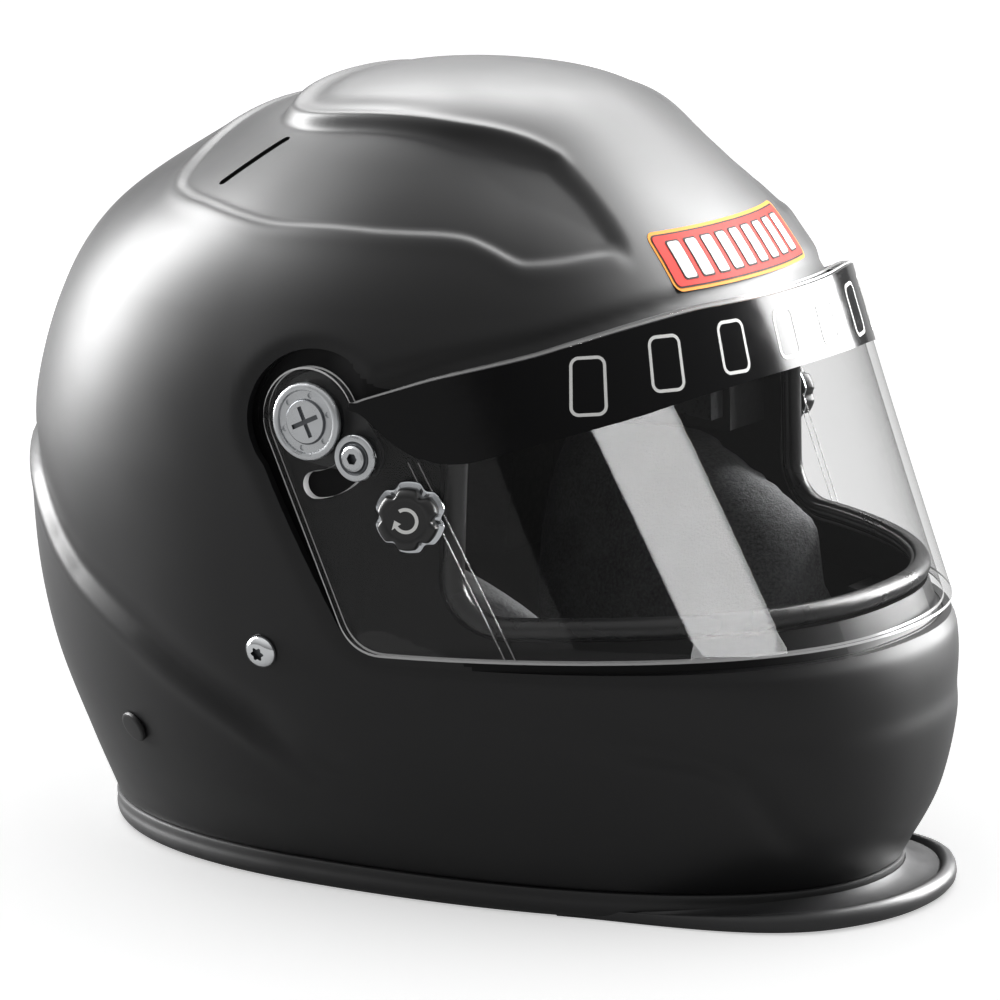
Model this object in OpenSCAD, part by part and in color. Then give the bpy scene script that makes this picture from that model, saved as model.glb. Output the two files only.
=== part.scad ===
/* [Shell] */
// Length of the outer shell, from the back of the head to the front of the chin bar
shell_length = 325; // [315:1:340]
// Width of the outer shell at the temples
shell_width = 264; // [256:1:276]
// Height of the outer shell above its bottom edge
shell_height = 256; // [248:1:268]
// Thickness of the shell wall
shell_wall = 4; // [3:0.5:4.5]
// Depth of the panels let into the sides of the crown
panel_depth = 3; // [1:0.5:4]
// Depth of the grooves at the back and on the chin bar
groove_depth = 2.5; // [0.5:0.5:3]
// Width of a vent slit in the crown
vent_width = 3; // [2:0.5:5]
// Length of a vent slit in the crown
vent_length = 25; // [15:1:30]

/* [Bottom edge] */
// Height of the rubber trim under the shell's bottom edge
trim_height = 10; // [8:1:13]
// Thickness of the rubber trim
trim_thickness = 9; // [7:1:11]
// How far the chin spoiler stands out past the shell at the front
spoiler_reach = 18; // [12:1:22]
// Thickness of the rounded bead along the spoiler's edge
spoiler_bead = 7; // [5:0.5:8]

/* [Visor] */
// Thickness of the visor
visor_thickness = 3; // [2:0.5:3.5]
// Distance that the visor's flat sides lie in from the shell's widest line
visor_inset = 3.4; // [2.5:0.1:4]
// Angle that the visor opens
visor_travel = 55; // [30:1:58]
// Width of the dark strip along the visor's top edge
strip_width = 25; // [15:1:32]
// Space between the visor and the floor of the pocket that it lies in
pocket_gap = 3.2; // [3:0.1:3.6]
// Distance by which the pocket is wider than the visor
pocket_margin = 4; // [3:0.5:5]
// Diameter of the rubber gasket round the eye port
gasket_diameter = 7; // [5:0.5:8]

/* [Visor hardware] */
// Diameter of the pivot cap
pivot_diameter = 25; // [20:1:28]
// Diameter of the pivot's post where it goes through the visor
pivot_post = 10; // [7:0.5:12]
// Diameter of the washer on the guide screw
guide_diameter = 15; // [12:0.5:17]
// Diameter of the guide screw's post in the curved slot
guide_post = 8; // [6:0.5:9]
// Distance from the pivot to the guide screw
guide_radius = 20.6; // [19:0.1:22]
// Diameter of the lock knob
knob_diameter = 20; // [17:0.5:22]
// Height of the lock knob over its ring
knob_height = 6; // [4:0.5:8]
// Running clearance round every post that turns or slides
running_gap = 0.4; // [0.3:0.1:0.6]

/* [Fasteners] */
// Thread diameter of the strap screws and of the restraint anchors
thread = 6; // [5:0.5:6]
// Diameter of the strap screw's head
screw_head = 11; // [9:0.5:13]
// Diameter of the plug in a restraint anchor
plug_diameter = 11; // [9:0.5:13]

/* [Liner] */
// Thickness of the impact liner
liner_thickness = 28; // [22:1:32]
// Thickness of the cheek pads
cheek_thickness = 34; // [26:1:38]
// Thickness of the comfort liner
comfort_thickness = 8; // [5:1:10]
// Clearance between the liner's layers
layer_gap = 0.3; // [0.2:0.1:0.6]

/* [Chin strap] */
// Width of the strap
strap_width = 24; // [20:1:27]
// Thickness of the strap
strap_thickness = 2; // [1.5:0.5:2.5]
// Diameter of the wire of a D-ring
ring_wire = 4; // [3:0.5:4.5]
// Distance that a D-ring reaches past its bar
ring_reach = 20; // [16:1:24]

/* [Hidden] */

// Sections of the shell from its bottom edge to its crown, drawn for a shell of the sizes below:
// height, back, front, half width
FORM = [[0, -144, 146, 86], [26, -149, 158, 105], [60, -159, 161, 120], [96, -164, 152, 128],
        [138, -162, 131, 132], [178, -150, 109, 128], [208, -131, 86, 114], [233, -95, 59, 86],
        [248, -66, 37, 60], [254.5, -42, 12, 33], [256, -15, -15, 0]];
FORM_SIZE = [325, 264, 256];
TOP = len(FORM) - 1;
// Fullness of the sections in front of their middle and behind it
FRONT_FULLNESS = 2.2;
BACK_FULLNESS = 2.1;
along = shell_length / FORM_SIZE[0];
across = shell_width / FORM_SIZE[1];
upward = shell_height / FORM_SIZE[2];
middle_x = -26 * along;
crown_x = -15 * along;
crown_z = trim_height + shell_height;

// Places on the shell, seen from the side
function place(x, z) = [x * along, trim_height + (z - 10) * upward];
pivot = place(6, 167);
knob = place(41, 139);
strap_hole = place(-15, 89);
anchor_hole = place(-80, 51);
vent_middle = place(-46, 242);
guide_angle = -29;
guide = pivot + guide_radius * [cos(guide_angle), sin(guide_angle)];
pivot_shank = 5;
guide_shank = 4;

// Edge of the panel let in round the crown: distance forward and half width, seen from above
PANEL_EDGE = [[-78, -5], [-78, 30], [-77, 60], [-74, 82], [-65, 92], [-52, 99], [-36, 105], [-18, 107.5],
              [8, 104], [24, 99], [40, 91], [52, 87], [60, 83], [68, 72], [75, 59], [75, 51.5], [60, 48],
              [50, 47], [42, 50], [32, 55], [20, 60.5], [8, 64], [-8, 67], [-26, 68.5], [-38, 66],
              [-47, 59], [-52, 47], [-55, 28], [-56, -5]];
// Lines of the grooves, seen from the side: distance forward and height
BACK_CREASE = [[-175, 150], [-160, 148], [-144, 141], [-128, 130], [-110, 113], [-98, 104.5], [-84, 97],
               [-68, 88.5], [-52, 78.5], [-40, 71.5], [-29, 65], [-15, 56]];
CHIN_CREASE = [[84, 67], [94, 64.5], [113, 61], [121, 59], [127, 55], [131, 50], [135, 35], [138, 26],
               [140, 16]];
CHIN_BAND = [[40, 79], [59, 73], [74, 69], [97, 69], [123, 67.5], [146, 65.5], [175, 67]];

// Numbers along the visor: where its flat sides end and how it curves from there
visor_side = shell_width / 2 - visor_inset;
bend_x = 21.5 * along;
VISOR_BEND = 1.4;
VISOR_CURVE = 0.43;
VISOR_LEAN = 23.3;
VISOR_FOOT = 93;
VISOR_HEAD = 201;
visor_low = place(0, VISOR_FOOT)[1];
visor_high = place(0, VISOR_HEAD)[1];
// Distance forward that lies past everything
past_front = 260;
pocket_floor = visor_thickness + pocket_gap;

function clamp01(v) = min(1, max(0, v));
function ease(v) = let(t = clamp01(v)) t * t * (3 - 2 * t);
function unit(v) = v / norm(v);
function signed_power(v, p) = sign(v) * pow(abs(v), p);

// The sections go on past the bottom edge, and mirrored past the crown
function form_row(i) =
    i < 0 ? 2 * FORM[0] - FORM[1] :
    i > TOP ? let(r = FORM[2 * TOP - i]) [r[0], r[2], r[1], -r[3]] : FORM[i];

function smooth_step(a, b, c, d, t) =
    0.5 * (2 * b + (c - a) * t + (2 * a - 5 * b + 4 * c - d) * t * t + (3 * b - a - 3 * c + d) * t * t * t);

function section(s) =
    let(i = min(floor(s), TOP - 1),
        r = smooth_step(form_row(i - 1), form_row(i), form_row(i + 1), form_row(i + 2), s - i))
    [trim_height + r[0] * upward, r[1] * along, r[2] * along, r[3] * across];

function section_at(z, low = -1, high = TOP, n = 18) =
    let(m = (low + high) / 2)
    n == 0 ? m : section(m)[0] < z ? section_at(z, m, high, n - 1) : section_at(z, low, m, n - 1);

function middle_of(k) =
    middle_x + (crown_x - middle_x) * max(0, (k[0] - trim_height) / shell_height - 0.74) / 0.26;

// Point of the plain shell in section s at plan angle a, 0 at the front
function base_point(s, a) =
    let(k = section(s), m = middle_of(k), c = cos(a), f = c > 0 ? FRONT_FULLNESS : BACK_FULLNESS,
        reach = c > 0 ? k[2] - m : m - k[1])
    [m + reach * signed_power(c, 2 / f), k[3] * signed_power(sin(a), 2 / f), k[0]];

function base_normal(s, a) =
    s >= TOP ? [0, 0, 1] :
    unit(cross(base_point(s, a + 0.5) - base_point(s, a - 0.5),
               base_point(min(s + 0.05, TOP), a) - base_point(s - 0.05, a)));

// Distance from the middle plane to the shell's side at x and z, and the direction square to it
function side_y(x, z) =
    let(k = section(section_at(z)), m = middle_of(k), f = x > m ? FRONT_FULLNESS : BACK_FULLNESS,
        reach = x > m ? k[2] - m : m - k[1])
    k[3] * pow(max(0, 1 - pow(min(1, abs(x - m) / reach), f)), 1 / f);

function side_normal(x, z) =
    unit([side_y(x - 0.5, z) - side_y(x + 0.5, z), 1, side_y(x, z - 0.5) - side_y(x, z + 0.5)]);

function line_distance(q, a, b) =
    let(d = b - a, t = clamp01((q - a) * d / (d * d))) norm(q - a - t * d);

function path_distance(q, line) = min([for (i = [0:len(line) - 2]) line_distance(q, line[i], line[i + 1])]);

function inside(q, line) =
    len([for (i = [0:len(line) - 1]) let(a = line[i], b = line[(i + 1) % len(line)])
         if ((a[1] > q[1]) != (b[1] > q[1]) && q[0] < a[0] + (b[0] - a[0]) * (q[1] - a[1]) / (b[1] - a[1])) 1])
    % 2 == 1;

// The panel's edge is a smooth step, which starts a little outside its line
PANEL_STEP = 6;
function panel_relief(p) =
    let(q = [p[0] / along, abs(p[1]) / across])
    p[2] < crown_z - 75 * upward ? 0 :
    -panel_depth * ease(0.3 + (inside(q, PANEL_EDGE) ? 1 : -1) * path_distance(q, PANEL_EDGE) / PANEL_STEP);

// A groove falls slowly above its line and rises fast below it, and fades towards its ends
function groove(p, line, share, above, below) =
    let(q = [p[0] / along, 10 + (p[2] - trim_height) / upward], far = path_distance(q, line),
        width = q[1] > lookup(q[0], line) ? above : below,
        fade = min(norm(q - line[0]), norm(q - line[len(line) - 1])))
    far > 3 * width ? 0 : -groove_depth * share * exp(-pow(far / width, 2)) * ease(fade / 24);

function relief(p, grooves) =
    panel_relief(p) + (!grooves ? 0 : groove(p, BACK_CREASE, 1, 9, 5) + groove(p, CHIN_CREASE, 0.7, 7, 7) +
                                      groove(p, CHIN_BAND, 0.4, 9, 6));

// Point at a depth below the shell's face
function layer_point(s, a, depth, grooves) =
    let(p = base_point(s, a)) p + base_normal(s, a) * (relief(p, grooves) - depth);

// Outline of the shell's bottom edge at plan angle a, moved out sideways
function edge_point(a, out, z) =
    let(p = base_point(0, a), q = base_point(0, a + 0.5) - base_point(0, a - 0.5), n = unit([q[1], -q[0]]))
    [p[0] + n[0] * out, p[1] + n[1] * out, z];

// Solid through a row of sections that have the same number of points. Their points run clockwise,
// seen along the row. Split the other way, each four-sided wall is halved along its other diagonal
module through(sections, closed = false, other = false) {
    n = len(sections[0]);
    m = len(sections);
    last = closed ? m - 1 : m - 2;
    walls = [for (i = [0:last]) for (j = [0:n - 1])
             let(a = i * n, b = (i + 1) % m * n, k = (j + 1) % n)
             each other ? [[a + j, b + j, a + k], [b + j, b + k, a + k]] :
                          [[a + j, b + j, b + k], [a + j, b + k, a + k]]];
    e = (m - 1) * n;
    ends = closed ? [] : [for (j = [1:n - 2]) each [[0, j, j + 1], [e, e + j + 1, e + j]]];
    polyhedron([for (s = sections) each s], concat(walls, ends), convexity = 10);
}

// Solid dome at a depth below the shell's face, from the section rows[0] up to the crown. Its
// flat bottom lies at that section, or a skirt below it where the dome cuts a cavity
module dome(rows, around, depth, grooves = false, skirt = 0) {
    turn = 360 / around;
    low = section(rows[0])[0];
    rings = [for (i = [0:len(rows) - 1]) [for (j = [0:around - 1])
             let(p = layer_point(rows[i], j * turn, depth, grooves)) [p[0], p[1], i == 0 ? low : p[2]]]];
    bottom = [for (p = rings[0]) [p[0], p[1], low - skirt]];
    all = skirt > 0 ? concat([bottom], rings) : rings;
    m = len(all);
    top = m * around;
    faces = [for (j = [0:around - 1]) let(k = (j + 1) % around) each concat(
             [for (i = [0:m - 2]) let(a = i * around, b = a + around)
              each [[a + j, b + j, b + k], [a + j, b + k, a + k]]],
             [[top - around + j, top, top - around + k], [j, k, top + 1]])];
    poles = [layer_point(TOP, 0, depth, false), [middle_x, 0, low - skirt]];
    polyhedron(concat([for (r = all) each r], poles), faces, convexity = 10);
}

// Puts a fastener on the shell's side with its z axis square to the shell
module on_side(at, side) {
    n = side_normal(at[0], at[1]);
    translate([at[0], side * side_y(at[0], at[1]), at[1]])
        rotate([0, acos(n[2]), side * atan2(n[1], n[0])]) children();
}

// Block with the outline of its children, seen from the side, through both sides or one
module side_prism(from = -200, to = 200) {
    translate([0, to, 0]) rotate([90, 0, 0]) linear_extrude(height = to - from) children();
}

// The visor's outer face: its front leans back evenly, and straight lines run up and down it
function visor_front(z) =
    section(section_at(visor_low))[2] - 0.5 - (z - visor_low) * tan(VISOR_LEAN);

// Plan point of the visor's face, moved in by a depth. u is 0 at the front, 1 at the bends and
// 2 at the back ends of the flat sides
function visor_point(u, z, depth) =
    abs(u) > 1 ? [bend_x - (abs(u) - 1) * 60, sign(u) * (visor_side - depth), z] :
    let(t = pow(cos(90 * u), 1.25))
    [bend_x + (visor_front(z) - depth - bend_x) * t,
     sign(u) * (visor_side - depth) * pow(max(0, 1 - pow(t, VISOR_BEND)), VISOR_CURVE), z];

function visor_y(x, z, depth) =
    let(t = clamp01((x - bend_x) / (visor_front(z) - depth - bend_x)))
    (visor_side - depth) * pow(1 - pow(t, VISOR_BEND), VISOR_CURVE);

function visor_u(x, z, depth) =
    acos(pow(clamp01((x - bend_x) / (visor_front(z) - depth - bend_x)), 0.8)) / 90;

// Wall that follows the visor's face between two depths
VISOR_STEPS = 60;
module visor_wall(outer, inner, low, high, steps = 24, other = false) {
    us = concat([-2], [for (i = [-steps / 2:steps / 2]) 2 * i / steps], [2]);
    through([for (u = us) [visor_point(u, low, outer), visor_point(u, low, inner),
                           visor_point(u, high, inner), visor_point(u, high, outer)]], other = other);
}

// Rows of the shell's outside and, coarser, of the layers inside it
outer_rows = concat([for (i = [0:10]) i * 0.5], [5.4], [for (i = [0:12]) 5.8 + i * 0.22], [8.8, 9.2, 9.6]);
inner_rows = concat([for (i = [0:8]) i * 0.75], [6.5, 7, 7.5, 8, 8.5, 9, 9.5]);
OUTER_TURN = 72;
INNER_TURN = 40;
function rows_from(first) = [for (r = inner_rows) if (r >= first) r];

VISOR_TOP = [[26, 176], [46, 183], [72, 190], [91, 197], [103, VISOR_HEAD], [past_front, VISOR_HEAD]];
visor_top = [for (p = VISOR_TOP) place(p[0], p[1])];
module visor_outline() {
    foot = place(31.5, 109);
    offset(r = -9, $fn = 24) offset(delta = 9) union() {
        hull($fn = 32) {
            translate(pivot) circle(r = pivot_diameter / 2 + 4.7);
            translate(foot) circle(r = foot[1] - visor_low);
        }
        polygon(concat(visor_top, [place(past_front, VISOR_FOOT), [foot[0], visor_low], place(10, 168)]));
    }
}

module pocket_outline() {
    offset(delta = pocket_margin) visor_outline();
    translate(pivot) circle(r = pivot_diameter / 2 + 10, $fn = 32);
}

// The eye port has round corners at the back and runs out over the front of the shell
PORT_CORNER = 20;
port_back = place(46.5, 0)[0];
port_low = place(0, 99)[1];
port_high = place(0, 188)[1];
module port_outline(grow = 0) {
    offset(delta = grow) offset(r = PORT_CORNER, $fn = 32) offset(delta = -PORT_CORNER)
        polygon([[port_back, port_high], [port_back, port_low], [past_front, port_low],
                 [past_front, port_high]]);
}

module on_pivot(side, at = pivot) {
    translate([at[0], side * visor_side, at[1]]) rotate([-90 * side, 0, 0]) children();
}

function visor_normal(at) =
    let(dx = visor_y(at[0] - 0.5, at[1], 0) - visor_y(at[0] + 0.5, at[1], 0),
        dz = visor_y(at[0], at[1] - 0.5, 0) - visor_y(at[0], at[1] + 0.5, 0)) unit([dx, 1, dz]);

module on_knob(side) {
    n = visor_normal(knob);
    translate([knob[0], side * visor_y(knob[0], knob[1], 0), knob[1]])
        rotate([0, acos(n[2]), side * atan2(n[1], n[0])]) children();
}

// A vent slit runs forward and up, square to the shell's face
VENT_RISE = [0.27, 0.27];
module vent_cut(side) {
    n = side_normal(vent_middle[0], vent_middle[1]);
    hull() for (end = [-1, 1]) {
        at = vent_middle + end * vent_length * VENT_RISE;
        translate([at[0], side * side_y(at[0], at[1]), at[1]])
            rotate([0, acos(n[2]), side * atan2(n[1], n[0])])
                cylinder(d = vent_width, h = 90, center = true, $fn = 8);
    }
}

pan_depth = pocket_floor + shell_wall;
screw_hole = thread + running_gap;

module outer_shell() {
    color("#2b2b2c") difference() {
        dome(outer_rows, OUTER_TURN, 0, true);
        difference() {
            dome(inner_rows, INNER_TURN, shell_wall, skirt = 10);
            intersection() {
                visor_wall(pocket_floor - 1, pan_depth, visor_low - 10, visor_high + 10);
                side_prism() offset(delta = shell_wall) pocket_outline();
            }
        }
        intersection() {
            visor_wall(-40, pocket_floor, visor_low - 10, visor_high + 10);
            side_prism() pocket_outline();
        }
        side_prism() port_outline();
        for (side = [-1, 1]) {
            vent_cut(side);
            on_side(strap_hole, side) cylinder(d = screw_hole, h = 20, center = true, $fn = 32);
            on_side(anchor_hole, side) cylinder(d = thread + 3 + running_gap, h = 20, center = true, $fn = 32);
            on_pivot(side) cylinder(d = pivot_shank + 0.2, h = 60, center = true, $fn = 32);
            on_pivot(side, guide) cylinder(d = guide_shank + 0.2, h = 60, center = true, $fn = 32);
        }
    }
}

// Rubber ring round the eye port, under the edge of the visor
gasket_depth = visor_thickness + 1 + gasket_diameter / 2;
gasket_inset = gasket_diameter / 2 + layer_gap;
module eye_port_gasket() {
    r = gasket_diameter / 2;
    low = port_low + gasket_inset;
    high = port_high - gasket_inset;
    back = port_back + gasket_inset;
    turn = PORT_CORNER - gasket_inset;
    edge = visor_u(back + turn, low, gasket_depth);
    top_edge = visor_u(back + turn, high, gasket_depth);
    function side_point(x, z) = [x, visor_y(x, z, gasket_depth), z];
    half = concat(
        [for (i = [0:9]) visor_point(top_edge * i / 10, high, gasket_depth)],
        [for (a = [90:18:180]) side_point(back + turn + turn * cos(a), high - turn + turn * sin(a))],
        [for (a = [180:18:270]) side_point(back + turn + turn * cos(a), low + turn + turn * sin(a))],
        [for (i = [9:-1:1]) visor_point(edge * i / 10, low, gasket_depth)]);
    foot = [visor_point(0, low, gasket_depth)];
    path = concat(half, foot, [for (i = [len(half) - 1:-1:1]) [half[i][0], -half[i][1], half[i][2]]]);
    n = len(path);
    color("#151516") through([for (i = [0:n - 1])
        let(t = unit(path[(i + 1) % n] - path[(i + n - 1) % n]),
            outward = unit([path[i][0] - middle_x, path[i][1], 0]),
            e = unit(cross(t, outward)), f = cross(e, t))
        [for (a = [0:45:315]) path[i] + r * (cos(a) * e - sin(a) * f)]], closed = true);
}

// The trim is a soft roll under the shell's edge, with a lip up inside the shell
module bottom_trim() {
    t = trim_thickness;
    h = trim_height;
    profile = [[-0.2, h - layer_gap], [0.4, h * 0.55], [-0.8, h * 0.2], [-2.8, 0], [-t + 2, 0], [-t, 2],
               [-t, h + 5], [-shell_wall - 1.5, h + 5], [-shell_wall - 1.5, h - layer_gap]];
    color("#1c1c1d")
        through([for (a = [0:5:355]) [for (q = profile) edge_point(a, q[0], q[1])]], closed = true);
}

// The spoiler flares out from the trim and ends in a rounded bead, and fades out along the sides
SPOILER_ENDS = 66;
module chin_spoiler() {
    b = spoiler_bead;
    inner = 0.4 + layer_gap;
    steps = 30;
    color("#242425") through([for (i = [0:steps])
        let(a = SPOILER_ENDS * (2 * i / steps - 1), k = 0.1 + 0.9 * ease((SPOILER_ENDS - abs(a)) / 40),
            w = spoiler_reach * k, h = b * (0.4 + 0.6 * k),
            profile = [[inner, h * 0.9], [inner + w * 0.15, h * 0.62], [w * 0.6, h * 0.5], [w * 0.66, h * 0.82],
                       [w * 0.8, h], [w * 0.93, h * 0.82], [w, h * 0.45], [w * 0.92, h * 0.1], [w * 0.8, 0],
                       [inner, 0]])
        [for (q = profile) edge_point(a, q[0], q[1])]]);
}

// Blocks that keep the inner layers out of the eye port, the cheeks and the visor's pockets
cheek_top = 131;
module cheek_space() {
    side_prism() polygon([place(-52, -60), place(-52, cheek_top - 3), place(46, cheek_top),
                          place(past_front, cheek_top), place(past_front, -60)]);
}

module liner_cuts(grow) {
    side_prism() port_outline(grow);
    cheek_space();
    intersection() {
        visor_wall(0, pan_depth + layer_gap, visor_low - 15, visor_high + 15);
        side_prism() offset(delta = shell_wall + 1) pocket_outline();
    }
    for (side = [-1, 1]) vent_cut(side);
}

liner_outer = shell_wall + layer_gap + 0.2;
liner_inner = liner_outer + liner_thickness;
comfort_outer = liner_inner + layer_gap + 0.5;
module impact_liner() {
    color("#5b5d60") difference() {
        dome(rows_from(2.2), INNER_TURN, liner_outer);
        dome(rows_from(2.2), INNER_TURN, liner_inner, skirt = 5);
        liner_cuts(8);
    }
}

module comfort_liner() {
    color("#3a3b3e") difference() {
        dome(rows_from(3.7), INNER_TURN, comfort_outer);
        dome(rows_from(3.7), INNER_TURN, comfort_outer + comfort_thickness, skirt = 5);
        liner_cuts(11);
    }
}

// Foam block behind the chin bar, cut from the same layers as the liner
CHIN_BACK = 92;
chin_foam = 16;
module chin_bar_liner() {
    color("#5b5d60") intersection() {
        difference() {
            dome(inner_rows, INNER_TURN, liner_outer);
            dome(inner_rows, INNER_TURN, liner_outer + chin_foam, skirt = 5);
        }
        side_prism() polygon([place(CHIN_BACK, 20), place(CHIN_BACK, 84), place(past_front, 84),
                          place(past_front, 20)]);
    }
}

// Pads lie a little off the shell's inner face, whose flats stand in between the points of its curve
pad_seat = shell_wall + layer_gap + 1.3;

// A pad is thickest in the middle and drawn in to its edges
function pad_swell(u, v) = pow(max(0, (1 - pow(abs(u), 4)) * (1 - pow(abs(v), 4))), 0.4);

// A cheek pad touches the shell low in front, and stands off it behind the strap and the visor's pocket
PAD_STAND = 7.2;
module cheek_pad(side) {
    outer = shell_wall + layer_gap + PAD_STAND;
    nu = 20;
    nv = 14;
    function spot(u, v) =
        let(x = 20 * along + 66 * along * u * (1 - 0.1 * v * v), top = 126 - 0.32 * max(0, x - 20), low = 30,
            h = (top + low) / 2 + (top - low) / 2 * v * (1 - 0.12 * u * u)) place(x / along, h);
    function pad_point(u, v, depth) =
        let(q = spot(u, v), y = side_y(q[0], q[1]), n = side_normal(q[0], q[1]))
        [q[0] - n[0] * depth, side * (y - n[1] * depth), q[1] - n[2] * depth];
    function front(u, v) = pad_point(u, v, outer + 5 + (cheek_thickness - 5) * pad_swell(u, v));
    function back(u, v) =
        let(q = spot(u, v), touch = ease((q[0] - place(4, 0)[0]) / 10) * ease((place(0, 80)[1] - q[1]) / 12))
        pad_point(u, v, outer - (outer - pad_seat) * touch + 3 - 3 * pad_swell(u, v));
    us = [for (i = [0:nu]) -side * cos(180 * i / nu)];
    vs = [for (i = [0:nv]) -cos(180 * i / nv)];
    color("#56585c") through([for (u = us) concat([for (v = vs) back(u, v)],
                                                  [for (i = [nv:-1:0]) front(u, vs[i])])]);
}
module cheek_pad_left() { cheek_pad(1); }
module cheek_pad_right() { cheek_pad(-1); }

// The neck roll closes the gap round the nape of the neck
ROLL_START = 104;
module neck_roll() {
    function outer(a) = pad_seat + (insert_depth + 1.5 - pad_seat) * ease((abs(a - 180) - 50) / 8);
    low = place(0, 20)[1];
    high = place(0, 62)[1];
    function spot(a, v, depth) =
        let(z = (low + high) / 2 + (high - low) / 2 * v, p = layer_point(section_at(z), a, depth, false))
        [p[0], p[1], z];
    turn = 180 - ROLL_START;
    vs = [for (i = [0:6]) -cos(30 * i)];
    color("#4a4b4f") through([for (i = [0:20])
        let(u = cos(9 * i), a = 180 - turn * -u)
        concat([for (v = vs) spot(a, v * (1 - 0.12 * u * u), outer(a))],
               [for (j = [6:-1:0])
                spot(a, vs[j] * (1 - 0.12 * u * u), outer(a) + 3 + 19 * pad_swell(u, vs[j]))])]);
}

// Curved slot that lets the visor swing past the guide screw
module guide_slot(width) {
    start = guide_angle - visor_travel;
    translate(pivot) {
        intersection() {
            difference() {
                circle(r = guide_radius + width / 2, $fn = 96);
                circle(r = guide_radius - width / 2, $fn = 96);
            }
            polygon(concat([[0, 0]], [for (i = [0:4])
                                      let(a = start + visor_travel * i / 4) 60 * [cos(a), sin(a)]]));
        }
        for (a = [start, guide_angle]) translate(guide_radius * [cos(a), sin(a)]) circle(d = width, $fn = 48);
    }
}

knob_shaft = 6;
module visor() {
    color("#c9ced3", 0.4) difference() {
        intersection() {
            visor_wall(0, visor_thickness, visor_low - 6, visor_high + 6, VISOR_STEPS);
            side_prism() visor_outline();
        }
        side_prism() translate(pivot) circle(d = pivot_post + 2 * running_gap, $fn = 64);
        side_prism() guide_slot(guide_post + 2 * running_gap);
        for (side = [-1, 1]) on_knob(side)
            cylinder(d = knob_shaft + running_gap, h = 20, center = true, $fn = 48);
    }
}

// Dark strip along the visor's top edge. Its lower edge drops behind the eye port's corner. Its wall
// is split the other way, so that its inner flats match the visor's outer ones
strip_thickness = 1;
strip_lift = 0.1;
STRIP_EDGE = [[30, 172], [41, 163], [50, 156.5], [60, 157], [76, 163], [96, 169], [114, 176], [121, 178],
              [past_front, 178]];
module sun_strip() {
    drop = [for (p = STRIP_EDGE) place(p[0], p[1] - (strip_width - 25) * ease((p[0] - 30) / 25))];
    color("#0b0b0c") intersection() {
        visor_wall(-strip_lift - strip_thickness, -strip_lift, visor_low - 6, visor_high + 6, VISOR_STEPS,
                   other = true);
        side_prism() polygon(concat(drop, [for (i = [len(visor_top) - 1:-1:1]) visor_top[i] - [0, 0.5]]));
    }
}

// Plate on the pocket's floor that carries the pivot's post and the guide screw
plate_thickness = 0.9;
pivot_boss = pivot_post + 10;
guide_boss = guide_post + 4;
cap_seat = visor_thickness + 0.3;
guide_seat = visor_thickness + 2;
module pivot_plates() {
    color("#18181a") for (side = [-1, 1]) difference() {
        union() {
            on_pivot(side) translate([0, 0, -pocket_floor])
                linear_extrude(height = plate_thickness) hull() {
                    circle(d = pivot_boss + 10, $fn = 32);
                    translate([guide[0] - pivot[0], side * (pivot[1] - guide[1])])
                        circle(d = guide_boss + 2, $fn = 32);
                }
            on_pivot(side) translate([0, 0, -pocket_floor])
                cylinder(d = pivot_boss, h = pocket_floor - cap_seat, $fn = 64);
            on_pivot(side, guide) translate([0, 0, -pocket_floor])
                cylinder(d = guide_boss, h = pocket_floor - guide_seat, $fn = 64);
        }
        on_pivot(side) cylinder(d = pivot_shank + 0.2, h = 60, center = true, $fn = 32);
        on_pivot(side, guide) cylinder(d = guide_shank + 0.2, h = 60, center = true, $fn = 32);
    }
}

cap_thickness = 2.2;
module pivot_caps() {
    color("#b9bbbe") for (side = [-1, 1]) on_pivot(side) difference() {
        union() {
            translate([0, 0, 0.3])
                cylinder(d1 = pivot_diameter, d2 = pivot_diameter - 1.6, h = cap_thickness, $fn = 64);
            translate([0, 0, -cap_seat]) cylinder(d = pivot_post, h = cap_seat + 1, $fn = 64);
            translate([0, 0, 0.3 - pan_depth]) cylinder(d = pivot_shank, h = pan_depth, $fn = 32);
        }
        translate([0, 0, cap_thickness - 0.5]) difference() {
            cylinder(d = pivot_diameter - 5, h = 2, $fn = 64);
            translate([0, 0, -1]) cylinder(d = pivot_diameter * 0.56, h = 4, $fn = 64);
        }
        for (turn = [0, 90]) rotate(turn + 20) translate([0, 0, cap_thickness])
            cube([pivot_diameter * 0.44, 2.2, 2.4], center = true);
    }
}

washer_thickness = 1.6;
module guide_screws() {
    color("#a9abae") for (side = [-1, 1]) on_pivot(side, guide) difference() {
        union() {
            translate([0, 0, 0.3]) cylinder(d = guide_diameter, h = washer_thickness, $fn = 64);
            translate([0, 0, 1]) cylinder(d1 = guide_post + 0.6, d2 = guide_post - 0.6, h = 2, $fn = 64);
            translate([0, 0, -guide_seat]) cylinder(d = guide_post, h = guide_seat + 1, $fn = 64);
            translate([0, 0, 0.3 - pan_depth]) cylinder(d = guide_shank, h = pan_depth, $fn = 32);
        }
        translate([0, 0, 1]) cylinder(d = 3.5, h = 3, $fn = 6);
    }
}

// Lobed knob whose shaft goes through the visor to a thin washer inside
ring_thickness = 1;
module lock_knob(side) {
    shaft = visor_thickness + 1.4;
    color("#1b1b1d") on_knob(side) {
        translate([0, 0, ring_thickness + 0.6]) linear_extrude(height = knob_height) difference() {
            circle(d = knob_diameter, $fn = 72);
            for (i = [0:5]) rotate(60 * i) translate([knob_diameter * 0.62, 0])
                circle(d = knob_diameter * 0.34, $fn = 32);
        }
        translate([0, 0, -shaft]) cylinder(d = knob_shaft, h = shaft + ring_thickness + 1, $fn = 48);
        translate([0, 0, -shaft]) cylinder(d = knob_shaft + 2, h = 0.9, $fn = 48);
    }
}
module lock_knob_left() { lock_knob(1); }
module lock_knob_right() { lock_knob(-1); }

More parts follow.
